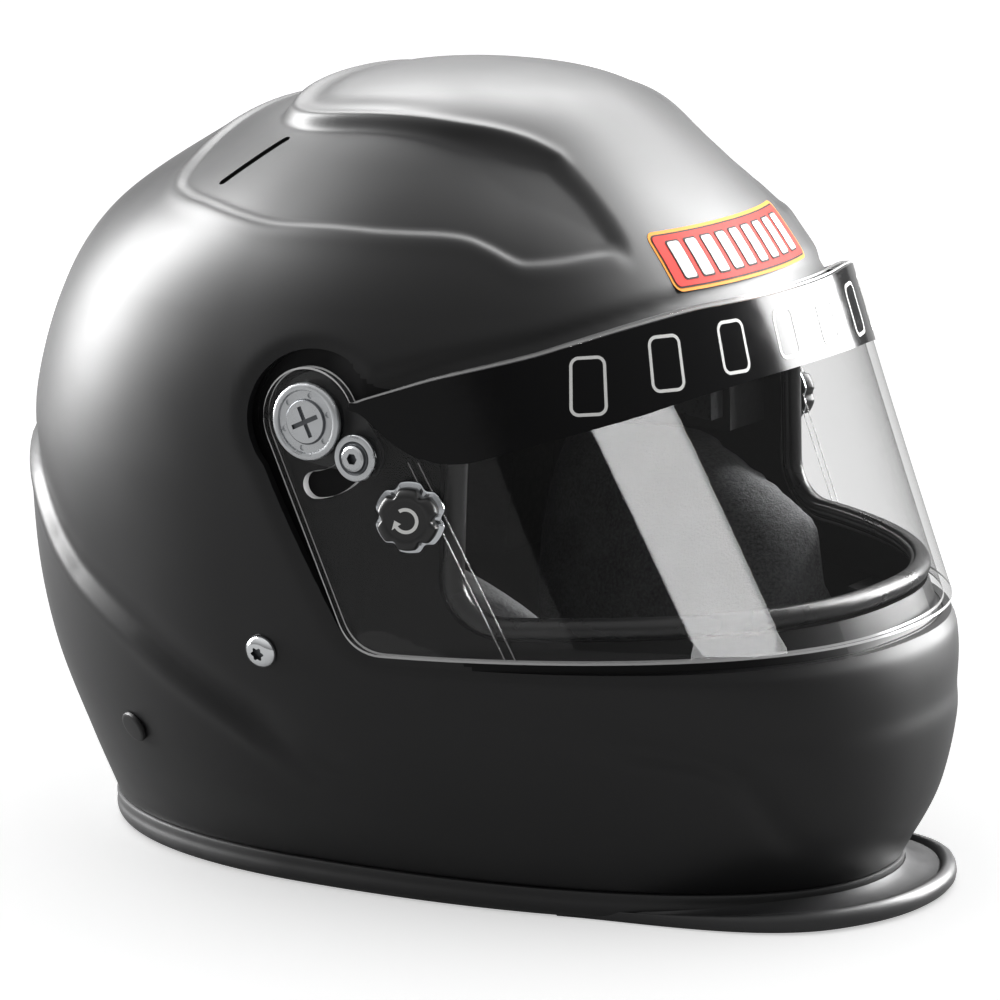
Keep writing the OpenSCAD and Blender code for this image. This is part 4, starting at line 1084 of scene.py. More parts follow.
path = gasketPath()
t = tangents(path, True)
outward = unitRows(np.column_stack([path[:, 0] - shell["middleX"], path[:, 1], 0 * path[:, 0]]))
e = unitRows(np.cross(t, outward))
a = np.arange(96) * 2 * np.pi / 96
dips = [depth * np.exp(-(np.angle(np.exp(1j * (a - np.pi / 2 - place))) / width) ** 2)
        for place, depth, width in gasket["ribs"]]
ribs = gasket["radius"] * (1 - sum(dips))
ribProfile = np.column_stack([ribs * np.cos(a), -ribs * np.sin(a)])
gasketPiece = carried("eye_port_seal", path, e, np.cross(e, t), ribProfile, gasketRubber, closed=True)
fit(gasketPiece, "helmet", "rubber_black", "eye_port_gasket")
print("strip and seal done")


# Trim and spoiler, carried round the shell's bottom edge
def bottomEdge(a):
    # outline of the bottom section at plan angle a, with its outward direction
    p = basePoint(0 * a, a)
    q = basePoint(0 * a, a + 0.008) - basePoint(0 * a, a - 0.008)
    n = unitRows(np.column_stack([q[:, 1], -q[:, 0], 0 * a]))
    return np.column_stack([p[:, :2], 0 * a]), n


a = np.arange(300) * 2 * np.pi / 300
path, n = bottomEdge(a)
up = np.tile([0, 0, 1.0], (len(path), 1))
# out and up of the roll's outline from the shell's bottom edge
trimOutline = [(0.25, 9.6), (0.75, 8.6), (0.55, 6.6), (0.75, 4.6), (0.2, 2.2), (-1.4, 0.5), (-3.6, 0.02), (-6.4, 0.1),
               (-8.4, 1.2), (-9, 3.4), (-9, 8), (-9, 12.5), (-8.4, 14.6), (-7.2, 15), (-5.9, 14.4), (-5.5, 12.5),
               (-5.5, 9.8), (-3, 9.65)]
trimProfile = smoothLine(trimOutline, 3, True)
trimPiece = carried("bottom_roll", path, n, up, trimProfile, trimRubber, closed=True)
fit(trimPiece, "helmet", "rubber_black", "bottom_trim")

spoiler = {
    "ends": 60.0, "reach": 18.0, "bead": 7.0, "steps": 180,
    # at its two ends: reach, share of the bead's height and inner edge, and degrees over which each fades
    "endReach": -1.6, "endBead": 0.4, "fade": 40.0, "inner": 0.9, "endInner": -2.6, "innerFade": 14.0,
}
angle = np.linspace(-spoiler["ends"], spoiler["ends"], spoiler["steps"])
k, kInner = (ease((spoiler["ends"] - np.abs(angle)) / spoiler[fade]) for fade in ("fade", "innerFade"))
w = spoiler["endReach"] + (spoiler["reach"] - spoiler["endReach"]) * k
h = spoiler["bead"] * (spoiler["endBead"] + (1 - spoiler["endBead"]) * k)
inner = spoiler["endInner"] + (spoiler["inner"] - spoiler["endInner"]) * kInner
# out and up of each profile point as shares of the reach and the bead's height
shape = [(0.0, 1.04), (0.10, 0.88), (0.24, 0.75), (0.40, 0.67), (0.55, 0.655), (0.655, 0.69), (0.69, 0.58),
         (0.705, 0.72), (0.74, 0.92), (0.80, 1.0), (0.87, 0.98), (0.94, 0.86), (0.985, 0.66), (1.0, 0.44),
         (0.985, 0.24), (0.93, 0.08), (0.84, 0.0), (0.4, 0.0), (0.0, 0.0)]
profile = np.stack([np.stack([inner + (w - inner) * s, h * v], -1) for s, v in shape], 1)
path, n = bottomEdge(np.radians(angle))
up = np.tile([0, 0, 1.0], (len(path), 1))
spoilerPiece = carried("chin_lip", path, n, up, profile, spoilerRubber, sharpAngle=50)
fit(spoilerPiece, "helmet", "spoiler_black", "chin_spoiler")
print("trim and spoiler done")


# Hardware on the visor: turned caps, guide screws, lobed lock knobs on clear rings
def fastener(name, profile, spot, n, metal, cutters, sides, recess, slot, node):
    # a turned piece with cuts, its faces in slots, grooves and sockets painted darker as painted shade, where
    # recess(height over the spot, distance off the axis) says so
    piece = carve(turned(name, profile, spot, n, metal, sides), cutters)
    smoothAgain(finish(piece, metal, recessShadeMetal), 28)
    offset = faceTable(piece)[0] - spot
    high = offset @ n
    paintWhere(piece, recess(high, np.linalg.norm(offset - high[:, None] * n, axis=1)))
    return fit(piece, "helmet", slot, node)


def onFlank(place, side):
    # point on the visor's flat side at (x, z), and the direction square to it
    return np.array([place[0], side * visor["side"], place[1]]), np.array([0.0, side, 0.0])


# radius and height over the visor's face
cap = {
    "profile": [(0.01, -9.9), (2.5, -9.9), (2.5, -3.3), (5, -3.3), (5, 0.3), (12.3, 0.3), (12.5, 0.5), (12.5, 1.5),
                (12.2, 2.1), (11.6, 2.45), (10.9, 2.5), (10.35, 2.3), (10.1, 1.9), (9.95, 1.55), (7.4, 1.55),
                (7.2, 1.7), (7.1, 2.2), (6.8, 2.4), (0.01, 2.5)],
    "marks": 6, "markRing": 8.65, "markRadius": 0.95, "arm": 5.2, "armHalf": 0.75, "crossFloor": 1.7,
}
guideScrew = {
    "profile": [(0.01, -9.9), (2, -9.9), (2, -5), (4, -5), (4, 0.3), (7.3, 0.3), (7.5, 0.5), (7.5, 1.35), (7.2, 1.75),
                (6.5, 1.9), (5.5, 1.85), (5.1, 1.5), (4.7, 1.45), (4.4, 1.7), (4.1, 2.6), (3.5, 3.05), (2.3, 3.1),
                (0.01, 3.1)],
    "socket": 1.9, "socketFloor": 1.2,
}
for side, name in ((-1, "right"), (1, "left")):
    spot, n = onFlank(visor["pivot"], side)
    cuts = []
    for k in range(cap["marks"]):
        q = math.radians(60 * k + 20)
        mark = [cap["markRing"] * math.cos(q), side * 1.0, cap["markRing"] * math.sin(q)]
        cuts.append(rodAlong(spot + mark, n, 4, cap["markRadius"], 24))
    for q in np.radians([25, 115]):
        corners = [(u * cap["arm"], v * cap["armHalf"]) for u, v in ((1, 1), (-1, 1), (-1, -1), (1, -1))]
        outline = [(spot[0] + u * math.cos(q) - v * math.sin(q), spot[2] + u * math.sin(q) + v * math.cos(q))
                   for u, v in corners]
        cuts.append(prism("cross", outline, *(side * (visor["side"] + y) for y in (cap["crossFloor"], 6))))
    fastener("pivot_cap_" + name, cap["profile"], spot, n, turnedAluminium, cuts, 128,
             lambda high, away: (high > 1.2) & (high < 2.36) & (away < 7.3), "metal_silver", "pivot_caps")
for side, name in ((-1, "right"), (1, "left")):
    spot, n = onFlank(guide, side)
    socket = rodAlong(spot + n * guideScrew["socketFloor"], n, 4, guideScrew["socket"], 6)
    fastener("guide_screw_" + name, guideScrew["profile"], spot, n, turnedAluminium, [socket], 96,
             lambda high, away: ((high > 0.9) & (away < 1.95))
             | ((high > 1.3) & (high < 2.4) & (away > 4.0) & (away < 5.3)), "metal_silver", "guide_screws")


def bays(share, depth):
    # six round bays in a rim: 1 - depth share (max(0, cos 6a))^1.6, share by the profile's radius
    def scale(profile, a):
        # radius by profile point and turning angle, as a share of the profile's own
        return 1 - depth * share(profile[:, 0])[:, None] * np.maximum(0, np.cos(6 * a))[None, :] ** 1.6
    return scale


knob = {
    # radius and height over the visor's face
    "profile": [(0.01, -4.4), (4, -4.4), (4, -3.5), (3, -3.5), (3, 1.6), (9.4, 1.6), (9.8, 1.9), (10, 2.4), (10, 4.6),
                (9.85, 5.6), (9.4, 6.5), (8.6, 7.1), (7.6, 7.35), (6.9, 7.4), (6.5, 7.2), (6.1, 7.2), (0.01, 7.3)],
    "ringProfile": [(3.25, 0.3), (11.3, 0.3), (11.5, 0.5), (11.4, 1.0), (10.9, 1.28), (3.25, 1.3)],
    "bays": bays(lambda radius: np.interp(radius, [7.2, 8.6, 10], [0, 0.6, 1.0]), 0.17),
    "ringBays": bays(lambda radius: np.clip((radius - 6) / 5, 0, 1), 0.125),
    # the printed arrow: its ends in degrees, middle radius, half width, the head's reach to either side and
    # its length in radians, foot and top
    "arrowFrom": 55, "arrowTo": 325, "arrowRadius": 3.6, "arrowHalf": 0.55, "headHalf": 1.8, "headTurn": 0.62,
    "print": (7.32, 7.45),
}


for side, name in ((-1, "right"), (1, "left")):
    spot, n = knobFrame(side)
    body = "lock_knob_" + name
    grip = turned("knob_grip_" + name, knob["profile"], spot, n, blackNylon, 192, lobes=knob["bays"], sharpAngle=32)
    fit(grip, body, "knob_black", body)
    a = np.arange(192) * 2 * np.pi / 192
    profile = np.array(knob["ringProfile"])
    reach = (profile[:, 0, None] * knob["ringBays"](profile, a)).T[..., None]
    grid = spot + reach * circleRound(n, a)[:, None] + profile[:, 1][None, :, None] * n
    ring = meshObject("knob_ring_" + name, grid.reshape(-1, 3), gridFaces(192, len(profile), True, True), brightRing)
    fit(ring, "visor", "ring_light", "knob_rings")
    # printed turning arrow: most of a circle with a pointed end, a little proud of the knob's top
    upright = unitRows(np.array([0, 0, 1.0]) - n * n[2])
    across = np.cross(n, upright)

    def onTop(q, radius, height):
        # point over the knob's middle line at a turning angle, radius and height
        return spot + radius * (np.cos(q)[..., None] * across + np.sin(q)[..., None] * upright) + n * height
    q = np.radians(np.linspace(knob["arrowFrom"], knob["arrowTo"], 60))
    inner, outer = knob["arrowRadius"] - knob["arrowHalf"], knob["arrowRadius"] + knob["arrowHalf"]
    foot, top = knob["print"]
    loop = np.stack([onTop(q, radius, height)
                     for radius, height in ((inner, foot), (inner, top), (outer, top), (outer, foot))], 1)
    corners = ((0, knob["headHalf"]), (0, -knob["headHalf"]), (knob["headTurn"], 0))
    head = [onTop(q[-1] + ahead, knob["arrowRadius"] + off, height) for height in (foot, top) for ahead, off in corners]
    base = loop.shape[0] * loop.shape[1]
    faces = closedFaces(*loop.shape[:2]) + [[base, base + 1, base + 2], [base + 5, base + 4, base + 3]]
    faces += [[base + v, base + 3 + v, base + 3 + (v + 1) % 3, base + (v + 1) % 3] for v in range(3)]
    points = np.vstack([loop.reshape(-1, 3), head])
    fit(meshObject("knob_arrow_" + name, points, faces, whitePrint, sharpAngle=20), body, "knob_black")
print("visor hardware done")


# Fasteners on the shell: radius and height over its face
strapScrew = {
    "profile": [(0.01, -10.8), (3, -10.8), (3, 0.2), (5.4, 0.2), (5.5, 0.35), (5.5, 0.95), (5.25, 1.5), (4.7, 2.15),
                (3.9, 2.7), (3.1, 3.0), (0.01, 3.2)],
    "socket": 2.05, "socketLobe": 0.34, "socketFloor": 1.3,
}
plugProfile = [(0.01, -5), (2.9, -5), (2.9, 0.3), (5.35, 0.3), (5.5, 0.45), (5.5, 1.1), (5.3, 1.5), (4.9, 1.72),
               (4.2, 1.8), (0.01, 1.8)]


def starSocket(centre, n, start, length):
    # six-lobed recess: r = radius + lobe cos(6a)
    a = np.arange(72) * 2 * np.pi / 72
    r = strapScrew["socket"] + strapScrew["socketLobe"] * np.cos(6 * a)
    ring = centre + r[:, None] * circleRound(n, a)
    return block("socket", ring + n * start, ring + n * (start + length))


for side, name in ((-1, "right"), (1, "left")):
    spot, n = onShell(hardware["strapHole"], side)
    fastener("strap_screw_" + name, strapScrew["profile"], spot, n, chromedSteel,
             [starSocket(spot, n, strapScrew["socketFloor"], 4)], 96,
             lambda high, away: (high > 1.0) & (high < 2.95) & (away < 2.45), "screw_steel", "strap_screws")
    spot, n = onShell(hardware["anchorHole"], side)
    plug = turned("anchor_plug_" + name, plugProfile, spot, n, shellPaint, 72)
    fit(plug, "helmet", "shell_black", "anchor_plugs")
print("shell hardware done")

# Badge place on the forehead: plain slanted bars on a red field with an amber edge
badge = {
    "half": 43.0, "low": 203.5, "high": 221.0, "lean": 0.18, "film": 0.1,
    "bars": 9, "barSpan": 34.0, "barWidth": 5.4, "barHeight": 10.6,
    # name of each film, how far it goes past the outline and how high it lies
    "films": (("badge_edge", 0.0, 0.05, amberFilm), ("badge_line", -0.9, 0.16, darkFilm),
              ("badge_field", -1.4, 0.27, redFilm)),
    "barFilms": (("edge", 0.5, 0.38, darkFilm), ("bar", 0.0, 0.49, whitePrint)),
}
middleZ = (badge["low"] + badge["high"]) / 2


def foreheadPoint(y, z, lift):
    # point on the shell's forehead at distance y from the middle and height z
    x = frontX(y, z)
    p = np.stack(np.broadcast_arrays(x, y, z), -1)
    d = 0.4
    sx = (frontX(y + d, z) - frontX(y - d, z)) / (2 * d)
    sz = (frontX(y, z + d) - frontX(y, z - d)) / (2 * d)
    n = unitRows(np.stack(np.broadcast_arrays(1.0 + 0 * x, -sx, -sz), -1))
    return p + n * lift


def foreheadPlate(name, outline, lift, thickness, material, steps=9):
    # outline of (y, z) filled by rings drawn in towards its middle, laid on the forehead
    outline = np.asarray(outline, float)
    middle = outline.mean(0)
    flat = np.array([middle + (outline - middle) * s for s in np.linspace(1, 0.02, steps)])
    foot, top = (foreheadPoint(flat[..., 0], flat[..., 1], height) for height in (lift, lift + thickness))
    grid = np.concatenate([top[::-1], foot])
    return meshObject(name, grid.reshape(-1, 3), closedFaces(len(grid), len(outline)), material, sharpAngle=45)


def leaning(outline):
    # sheared to the side by the badge's lean for each millimetre over its middle height
    outline = np.array(outline, float)
    outline[:, 0] += badge["lean"] * (outline[:, 1] - middleZ)
    return outline


def dense(outline, step=2.0):
    # more points along long sides, so that the plate follows the shell
    outline = np.asarray(outline, float)
    parts = []
    for p, q in zip(outline, np.roll(outline, -1, 0)):
        count = max(1, int(np.linalg.norm(q - p) / step))
        parts.append(p + (q - p) * np.linspace(0, 1, count, endpoint=False)[:, None])
    return np.vstack(parts)


height = badge["high"] - badge["low"]
for name, grow, lift, material in badge["films"]:
    plate = dense(leaning(roundRect(2 * badge["half"] + 2 * grow, height + 2 * grow, 3.0 + grow, 5) + [0, middleZ]))
    fit(foreheadPlate(name, plate, lift, badge["film"], material), "helmet", "shell_black")
# white bars with dark edges, leaning as the plate does, spread over its whole length
for k, place in enumerate(np.linspace(-badge["barSpan"], badge["barSpan"], badge["bars"])):
    for part, grow, lift, material in badge["barFilms"]:
        outline = roundRect(badge["barWidth"] + 2 * grow, badge["barHeight"] + 2 * grow, 0.9, 3) + [place, middleZ]
        bar = foreheadPlate("badge_%s_%d" % (part, k), dense(leaning(outline)), lift, badge["film"], material, 4)
        fit(bar, "helmet", "shell_black")
print("badge done")

# Lining: polystyrene liner and chin block, quilted comfort lining, fleece pads and neck roll
lining = {
    "outer": 4.5, "foam": 28.0, "comfortOuter": 33.3, "comfort": 8.0, "chinFoam": 16.0, "padSeat": 5.6,
    "padStand": 7.2, "quiltWide": 26.0, "quiltLong": 34.0, "quiltDepth": 3.2,
}
# place and half length of the cheek pads, their top and how it falls forward, foot, thickness, and how far
# they are drawn in so that the filling has room to swell
cheek = {"middleX": 20.0, "half": 66.0, "top": 126.0, "fall": 0.32, "foot": 30.0, "thick": 34.0, "inset": 1.5}
# half the roll's angle round the nape, its heights and thickness
nape = {"half": 76.0, "low": 21.5, "high": 60.5, "thick": 16.0}


def rowsFrom(first, count):
    # rows from one up to near the crown, half as many over the last part
    return spacedRows([(first, 7.0, count), (7.0, 9.9, count // 2)])


def liningCuts(grow):
    # the eye port, the cheeks' room, the room of the visor's pocket and the vents
    tables = grownTables(visor["pocketMargin"] + shell["wall"] + 1)
    cheeks = prism("cheeks", [(-52, -60), (260, -60), (260, 131), (46, 131), (-52, 128)])
    pocketRoom = visorSolid("pocketRoom", 0, hardware["panDepth"] + 0.3, tables, rows=8)
    return [prism("port", portOutline(grow)), cheeks, pocketRoom] + [ventCut(side) for side in (-1, 1)]


impactRows = rowsFrom(2.2, 30)
impact = dome("impact_foam", impactRows, 144, lining["outer"])
hollow = dome("hollow", impactRows, 144, lining["outer"] + lining["foam"], skirt=5)
carve(impact, [hollow] + liningCuts(8))
fit(smoothAgain(finish(impact, liningFoam)), "helmet", "foam_grey", "impact_liner")

chinRows = spacedRows([(0.2, 3.6, 30), (3.6, 9.9, 12)])
chinBlock = dome("chin_foam", chinRows, 144, lining["outer"])
carve(chinBlock, [dome("hollow", chinRows, 144, lining["outer"] + lining["chinFoam"], skirt=30)])
carve(chinBlock, [prism("keep", [(92, 20), (260, 20), (260, 84), (92, 84)])], "INTERSECT")
fit(bevelRim(finish(chinBlock, liningFoam), 1.5, 2), "helmet", "foam_grey", "chin_bar_liner")


def quilted(p):
    # panels bounded by sewn channels: depth (1 - (|sin(pi y / wide)| |sin(pi (x + 0.35 z) / long)|)^0.3)
    across = np.abs(np.sin(np.pi * (p[..., 1] + lining["quiltWide"] / 2) / lining["quiltWide"]))
    along = np.abs(np.sin(np.pi * (p[..., 0] + p[..., 2] * 0.35) / lining["quiltLong"]))
    return lining["quiltDepth"] * (1 - (across * along) ** 0.3)


def quiltedDome(name, rows, around, depth):
    # the room inside the quilted lining: the shell's form at a depth, moved out again by the quilting
    s, p, n = surfaceGrid(rows, around)
    p = p - n * depth
    p = p + n * (quilted(p) * ease((10 - s) / 0.4))[..., None]
    grid = np.concatenate([p[:1] - [0, 0, 5], p]).reshape(-1, 3)
    return meshObject(name, grid, closedFaces(len(rows) + 1, around), None)


comfortLining = dome("comfort_lining", rowsFrom(3.7, 30), 160, lining["comfortOuter"])
hollow = quiltedDome("hollow", spacedRows([(3.7, 9.95, 110)]), 240, lining["comfortOuter"] + lining["comfort"])
carve(comfortLining, [hollow] + liningCuts(11))
fit(bevelRim(finish(comfortLining, liningKnit), 1.6, 3), "helmet", "comfort_grey", "comfort_liner")
print("lining done")


def stuffed(piece, voxel, cap, pressure=4.0):
    # the form is remeshed, blown up a little by cloth pressure, capped in how far a point moves,
    # and rounded by one subdivision
    remesh = piece.modifiers.new("even", "REMESH")
    remesh.mode, remesh.voxel_size = "VOXEL", voxel * 0.001
    applied(piece)
    start = np.empty(len(piece.data.vertices) * 3, np.float32)
    piece.data.vertices.foreach_get("co", start)
    cloth = piece.modifiers.new("filling", "CLOTH")
    cloth.settings.use_pressure = True
    cloth.settings.uniform_pressure_force = pressure
    cloth.settings.quality = 5
    cloth.settings.effector_weights.gravity = 0
    cloth.settings.tension_stiffness = cloth.settings.compression_stiffness = 8
    for step in range(1, 21):
        bpy.context.scene.frame_set(step)
    applied(piece)
    bpy.context.scene.frame_set(1)
    end = np.empty_like(start)
    piece.data.vertices.foreach_get("co", end)
    move = (end - start).reshape(-1, 3)
    far = np.linalg.norm(move, axis=1, keepdims=True)
    limited = start.reshape(-1, 3) + move * np.minimum(1, cap * 0.001 / np.maximum(far, 1e-9))
    piece.data.vertices.foreach_set("co", limited.astype(np.float32).ravel())
    piece.data.update()
    finer = piece.modifiers.new("finer", "SUBSURF")
    finer.levels = finer.render_levels = 1
    applied(piece)
    return smoothAgain(piece, 180)


def roundSteps(count):
    # from -1 to 1 in steps that grow finer towards both ends, by a cosine
    return -np.cos(np.pi * np.linspace(0, 1, count))


def padLoop(name, back, front, side, material):
    # the pad's wall goes forward over its back and returns over its front
    loop = np.concatenate([back, front[:, ::-1]], 1) * [1, side, 1]
    return meshObject(name, loop.reshape(-1, 3), closedFaces(*loop.shape[:2]), material)


def padSwell(u, v):
    # full in the middle and drawn in at the seams: ((1 - u^4) (1 - v^4))^0.4
    return np.maximum(0, (1 - np.abs(u) ** 4) * (1 - np.abs(v) ** 4)) ** 0.4


def cheekPad(side, name):
    # same outline as the CAD pad, drawn in all round, between a back on the shell's form and a swelling front
    inset = cheek["inset"]
    u, v = roundSteps(41)[:, None], roundSteps(29)[None, :]
    x = cheek["middleX"] + (cheek["half"] - inset) * u * (1 - 0.1 * v * v)
    top, low = cheek["top"] - cheek["fall"] * np.maximum(0, x - cheek["middleX"]) - inset, cheek["foot"] + inset
    z = (top + low) / 2 + (top - low) / 2 * v * (1 - 0.12 * u * u)
    y, n = sideY(x, z), faceNormal(sideY, x, z)
    seat = lining["outer"] - 0.2 + lining["padStand"]
    swell = padSwell(u, v)
    touch = ease((x - 4) / 10) * ease((80 - z) / 12)
    front = seat + 6 + (cheek["thick"] - 7.5) * swell
    back = seat - (seat - lining["padSeat"]) * touch + 4 - 2.2 * swell
    layers = [np.stack([x, y, z], -1) - n * depth[..., None] for depth in (back, front)]
    return padLoop(name, *layers, side, cheekFleece)


for side, name in ((1, "cheek_pad_left"), (-1, "cheek_pad_right")):
    pad = stuffed(cheekPad(side, name + "_fleece"), 3.0, 2.2)
    fit(pad, "helmet", "pad_grey", name)


def neckRoll():
    # a roll round the nape between two heights, thick in the middle and thin at its ends
    u, v = roundSteps(61)[:, None], roundSteps(17)[None, :]
    a = np.radians(180 + nape["half"] * u * 0.985)
    low, high = nape["low"], nape["high"]
    z = (low + high) / 2 + (high - low) / 2 * v * (1 - 0.12 * u * u)
    s = sectionAt(z)
    p, n = basePoint(s, a + 0 * z), baseNormal(s, a + 0 * z)
    seat = lining["padSeat"] + 1.2 + (8.3 - lining["padSeat"]) * ease((np.degrees(np.abs(a - np.pi)) - 50) / 8)
    layers = [p - n * (depth + 0 * z)[..., None] for depth in (seat, seat + 3 + nape["thick"] * padSwell(u, v))]
    for layer in layers:
        layer[..., 2] = z
    return padLoop("neck_roll_fleece", *layers, 1, rollFleece)


roll = stuffed(neckRoll(), 3.2, 2.0)
fit(roll, "helmet", "pad_grey", "neck_roll")
print("pads done")

# Chin strap: woven bands, two wire rings and a snap
strap = {
    "width": 24.0, "thickness": 2.0, "lie": 9.4, "startHeights": (80, 60, 46), "drop": [(88, 29), (74, 18.5)],
    "leftRun": [(61, 21), (56, 34), (52, 45), (46, 51.5), (40, 52.6), (36, 51.4)],
    "rightRun": [(56, 15.5), (36, 14.5), (14, 15), (-2, 21), (-7, 31), (1, 39), (16, 41), (34, 41), (52, 41)],
    "bars": [(33.0, 48.0), (39.0, 48.0)], "wire": 4.0, "reach": 20.0, "corner": 1.6,
    "loopInner": 2.4, "loopOuter": 4.4, "barHalf": 3.0, "rib": 1.6, "snap": (-36, 42.3),
}
x0 = hardware["strapHole"][0]
start = [(float(sideY(x0, z)) - strap["lie"], z) for z in strap["startHeights"]]


def woven(name, line, side, thickness, marks, closed=False):
    # a flat band with soft edges along a line of (distance across, height): one face's points, from marks
    # across it as shares of its half width, then the same points turned half round for the other face
    t = tangents(line, closed)
    path = np.column_stack([np.full(len(line), x0), side * line[:, 0], line[:, 1]])
    up = np.column_stack([0 * t[:, 0], -side * t[:, 1], t[:, 0]])
    w, h = strap["width"] / 2, thickness / 2
    edge = [(w - 0.7, -h), (w, -h * 0.35)]
    face = np.array([(-x, z) for x, z in edge[::-1]] + [(m * w, -h) for m in marks] + edge)
    out = np.tile([1.0, 0, 0], (len(path), 1))
    return carried(name, path, out, up, np.vstack([face, -face]), strapWebbing, closed, strap["rib"], 50)


for name, points, side in (("right", strap["rightRun"], -1), ("left", strap["leftRun"], 1)):
    line = smoothLine(np.array(start + strap["drop"] + points, float), 8)
    band = woven("strap_band_" + name, line, side, strap["thickness"], (-0.5, 0, 0.5))
    fit(band, "helmet", "webbing_black", "strap_" + name)

# the left band's end is sewn round both rings' bars as one flat loop
barMiddle = np.mean(strap["bars"], axis=0)
q = np.radians(np.linspace(-90, 90, 12))
r = (strap["loopInner"] + strap["loopOuter"]) / 2
halfLoop = np.column_stack([strap["barHalf"] + r * np.cos(q), r * np.sin(q)])
loopLine = np.vstack([barMiddle + halfLoop, barMiddle - halfLoop])
sewn = woven("strap_loop", loopLine, 1, strap["loopOuter"] - strap["loopInner"], (0,), closed=True)
fit(sewn, "helmet", "webbing_black")

for (y, z), body in zip(strap["bars"], ("d_ring_outer", "d_ring_inner")):
    # D-ring: a straight bar, two short legs and a half circle below
    r = strap["width"] / 2 + 3
    leg = strap["reach"] - r
    bend = np.radians(np.linspace(180, 360, 41))[::-1][1:]
    corner = strap["corner"]
    shoulder = [(r - 0.45, -0.45), (r, -corner)]
    line = np.array([(-r + corner, 0), (0, 0), (r - corner, 0), *shoulder, (r, -leg)]
                    + [(r * math.cos(v), -leg + r * math.sin(v)) for v in bend]
                    + [(-x, z) for x, z in shoulder[::-1]])
    path = np.column_stack([x0 + line[:, 0], np.full(len(line), y), z + line[:, 1]])
    e = np.tile([0, 1.0, 0], (len(path), 1))
    turn = np.arange(20) * 2 * np.pi / 20
    wireProfile = strap["wire"] / 2 * np.column_stack([np.cos(turn), np.sin(turn)])
    f = np.cross(tangents(path, True), e)
    wire = carried(body + "_wire", path, e, f, wireProfile, platedSteel, closed=True, sharpAngle=60)
    fit(wire, body, "fitting_steel", body)

snapProfile = [(0.01, 0), (5.6, 0), (6, 0.3), (6, 1.1), (5.5, 1.7), (4.6, 1.85), (3.7, 1.6), (3.4, 0.9), (0.01, 0.8)]
snap = turned("strap_snap_cap", snapProfile, (x0, *strap["snap"]), (0, 0.0001, 1), platedSteel, 64)
fit(snap, "helmet", "fitting_steel", "strap_snap")
print("strap done")

# CAD nodes that stay get their own finish
for name, material in (("pivot_plates", plateNylon), ("strap_tabs", platedSteel), ("strap_nuts", platedSteel),
                       ("anchor_inserts", platedSteel)):
    for k in range(len(nodes[name].data.materials)):
        nodes[name].data.materials[k] = material

# Camera, floor and light
view = {
    "target": (-11.0, 0.0, 135.0), "azimuth": 31.437, "elevation": 11.248, "distance": 1800.0,
    "lens": 191.08, "shiftX": 0.0249, "shiftY": -0.0530,
}
azimuth, elevation = math.radians(view["azimuth"]), math.radians(view["elevation"])
level = math.cos(elevation)
back = Vector((math.sin(azimuth) * level, -math.cos(azimuth) * level, math.sin(elevation)))
target = Vector(view["target"]) * 0.001
camera = bpy.data.objects.new("camera", bpy.data.cameras.new("camera"))
bpy.context.scene.collection.objects.link(camera)
camera.location = target + back * view["distance"] * 0.001
camera.rotation_euler = (-back).to_track_quat("-Z", "Y").to_euler()
camera.data.lens, camera.data.sensor_width = view["lens"], 36.0
camera.data.shift_x, camera.data.shift_y = view["shiftX"], view["shiftY"]
bpy.context.scene.camera = camera

floorMaterial, floorTree, floorShader = startMaterial(
    "pale_floor", {"Base Color": paint("#f4f4f4"), "Roughness": 0.7, "Emission Color": paint("#ffffff")})
# the table's own white glow shows to the eye and puts no light on the helmet
direct = addNode(floorTree, "ShaderNodeLightPath")
addNode(floorTree, "ShaderNodeMath", {"operation": "MULTIPLY", 1: 0.5}, {0: direct.outputs["Is Camera Ray"]},
        {"Value": floorShader.inputs["Emission Strength"]})
floorMesh = bpy.data.meshes.new("floor")
floorMesh.from_pydata([(-8, -8, 0), (8, -8, 0), (8, 8, 0), (-8, 8, 0)], [], [(0, 1, 2, 3)])
floorMesh.materials.append(floorMaterial)
floor = bpy.data.objects.new("floor", floorMesh)
floor.location.z = -0.0005
bpy.context.scene.collection.objects.link(floor)

world = bpy.data.worlds.new("studio")
world.use_nodes = True
tree = world.node_tree
backdrop = tree.nodes["Background"]
backdrop.inputs["Color"].default_value = paint("#ffffff")
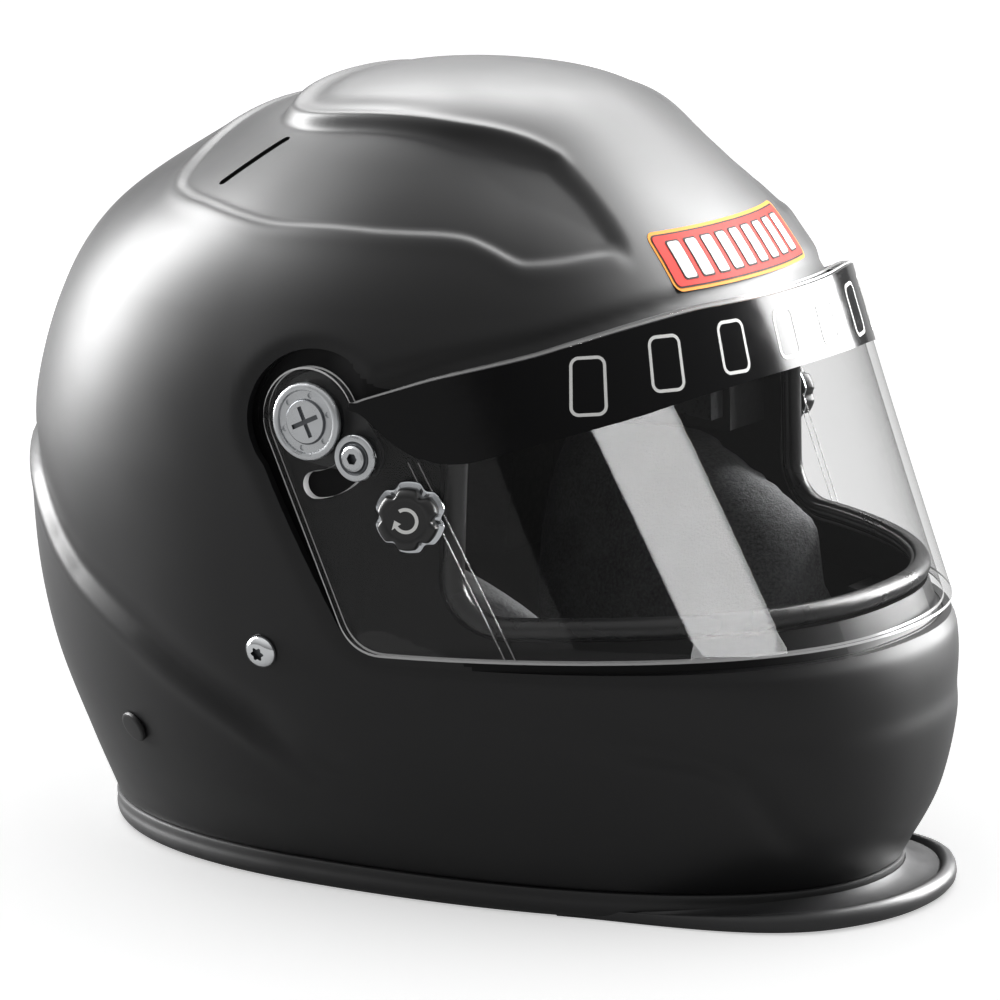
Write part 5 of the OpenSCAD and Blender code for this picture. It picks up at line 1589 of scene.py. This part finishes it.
# paler overhead than at the horizon for the helmet, and plain white to the eye
around = addNode(tree, "ShaderNodeTexCoord")
heading = addNode(tree, "ShaderNodeSeparateXYZ", {}, {"Vector": around.outputs["Generated"]})
overhead = addNode(tree, "ShaderNodeMapRange", {"From Min": 0.0, "From Max": 0.8, "To Min": 0.2, "To Max": 0.85},
                   {"Value": heading.outputs["Z"]})
seen = addNode(tree, "ShaderNodeLightPath")
addNode(tree, "ShaderNodeMix", {"data_type": "FLOAT", 3: 1.0},
        {0: seen.outputs["Is Camera Ray"], 2: overhead.outputs["Result"]}, {0: backdrop.inputs["Strength"]})
bpy.context.scene.world = world
bpy.context.scene.view_settings.view_transform = "Standard"
right = Vector((math.cos(azimuth), math.sin(azimuth), 0))
towards = Vector((back.x, back.y, 0)).normalized()
# name: offset to the right, towards the camera and up, in metres; width, height; power; how the listed
# pieces are linked. The band light reaches the clear visor alone, and the others leave the floor out
softboxes = {
    "crown": ((0.15, -1.15, 1.15), (1.4, 0.6), 40.0, "EXCLUDE", [floor]),
    "rightRim": ((1.4, -0.83, 0.7), (0.9, 1.4), 108.0, "EXCLUDE", [visorPiece, floor]),
    "leftRim": ((-1.4, -0.62, 0.72), (0.7, 1.7), 145.0, "EXCLUDE", [floor]),
    "visorBand": ((1.05, 1.21, 0.38), (0.8, 1.1), 60.0, "INCLUDE", [visorPiece]),
}
for name, (offset, size, power, linked, pieces) in softboxes.items():
    lamp = bpy.data.lights.new(name, "AREA")
    lamp.shape, lamp.size, lamp.size_y, lamp.energy = "RECTANGLE", *size, power
    box = bpy.data.objects.new(name, lamp)
    box.location = target + right * offset[0] + towards * offset[1] + Vector((0, 0, offset[2]))
    box.rotation_euler = (target - box.location).to_track_quat("-Z", "Y").to_euler()
    bpy.context.scene.collection.objects.link(box)
    lit = bpy.data.collections.new(name + "Lit")
    for piece in pieces:
        lit.objects.link(piece)
    for entry in lit.collection_objects:
        entry.light_linking.link_state = linked
    box.light_linking.receiver_collection = lit
print("camera and light ready")
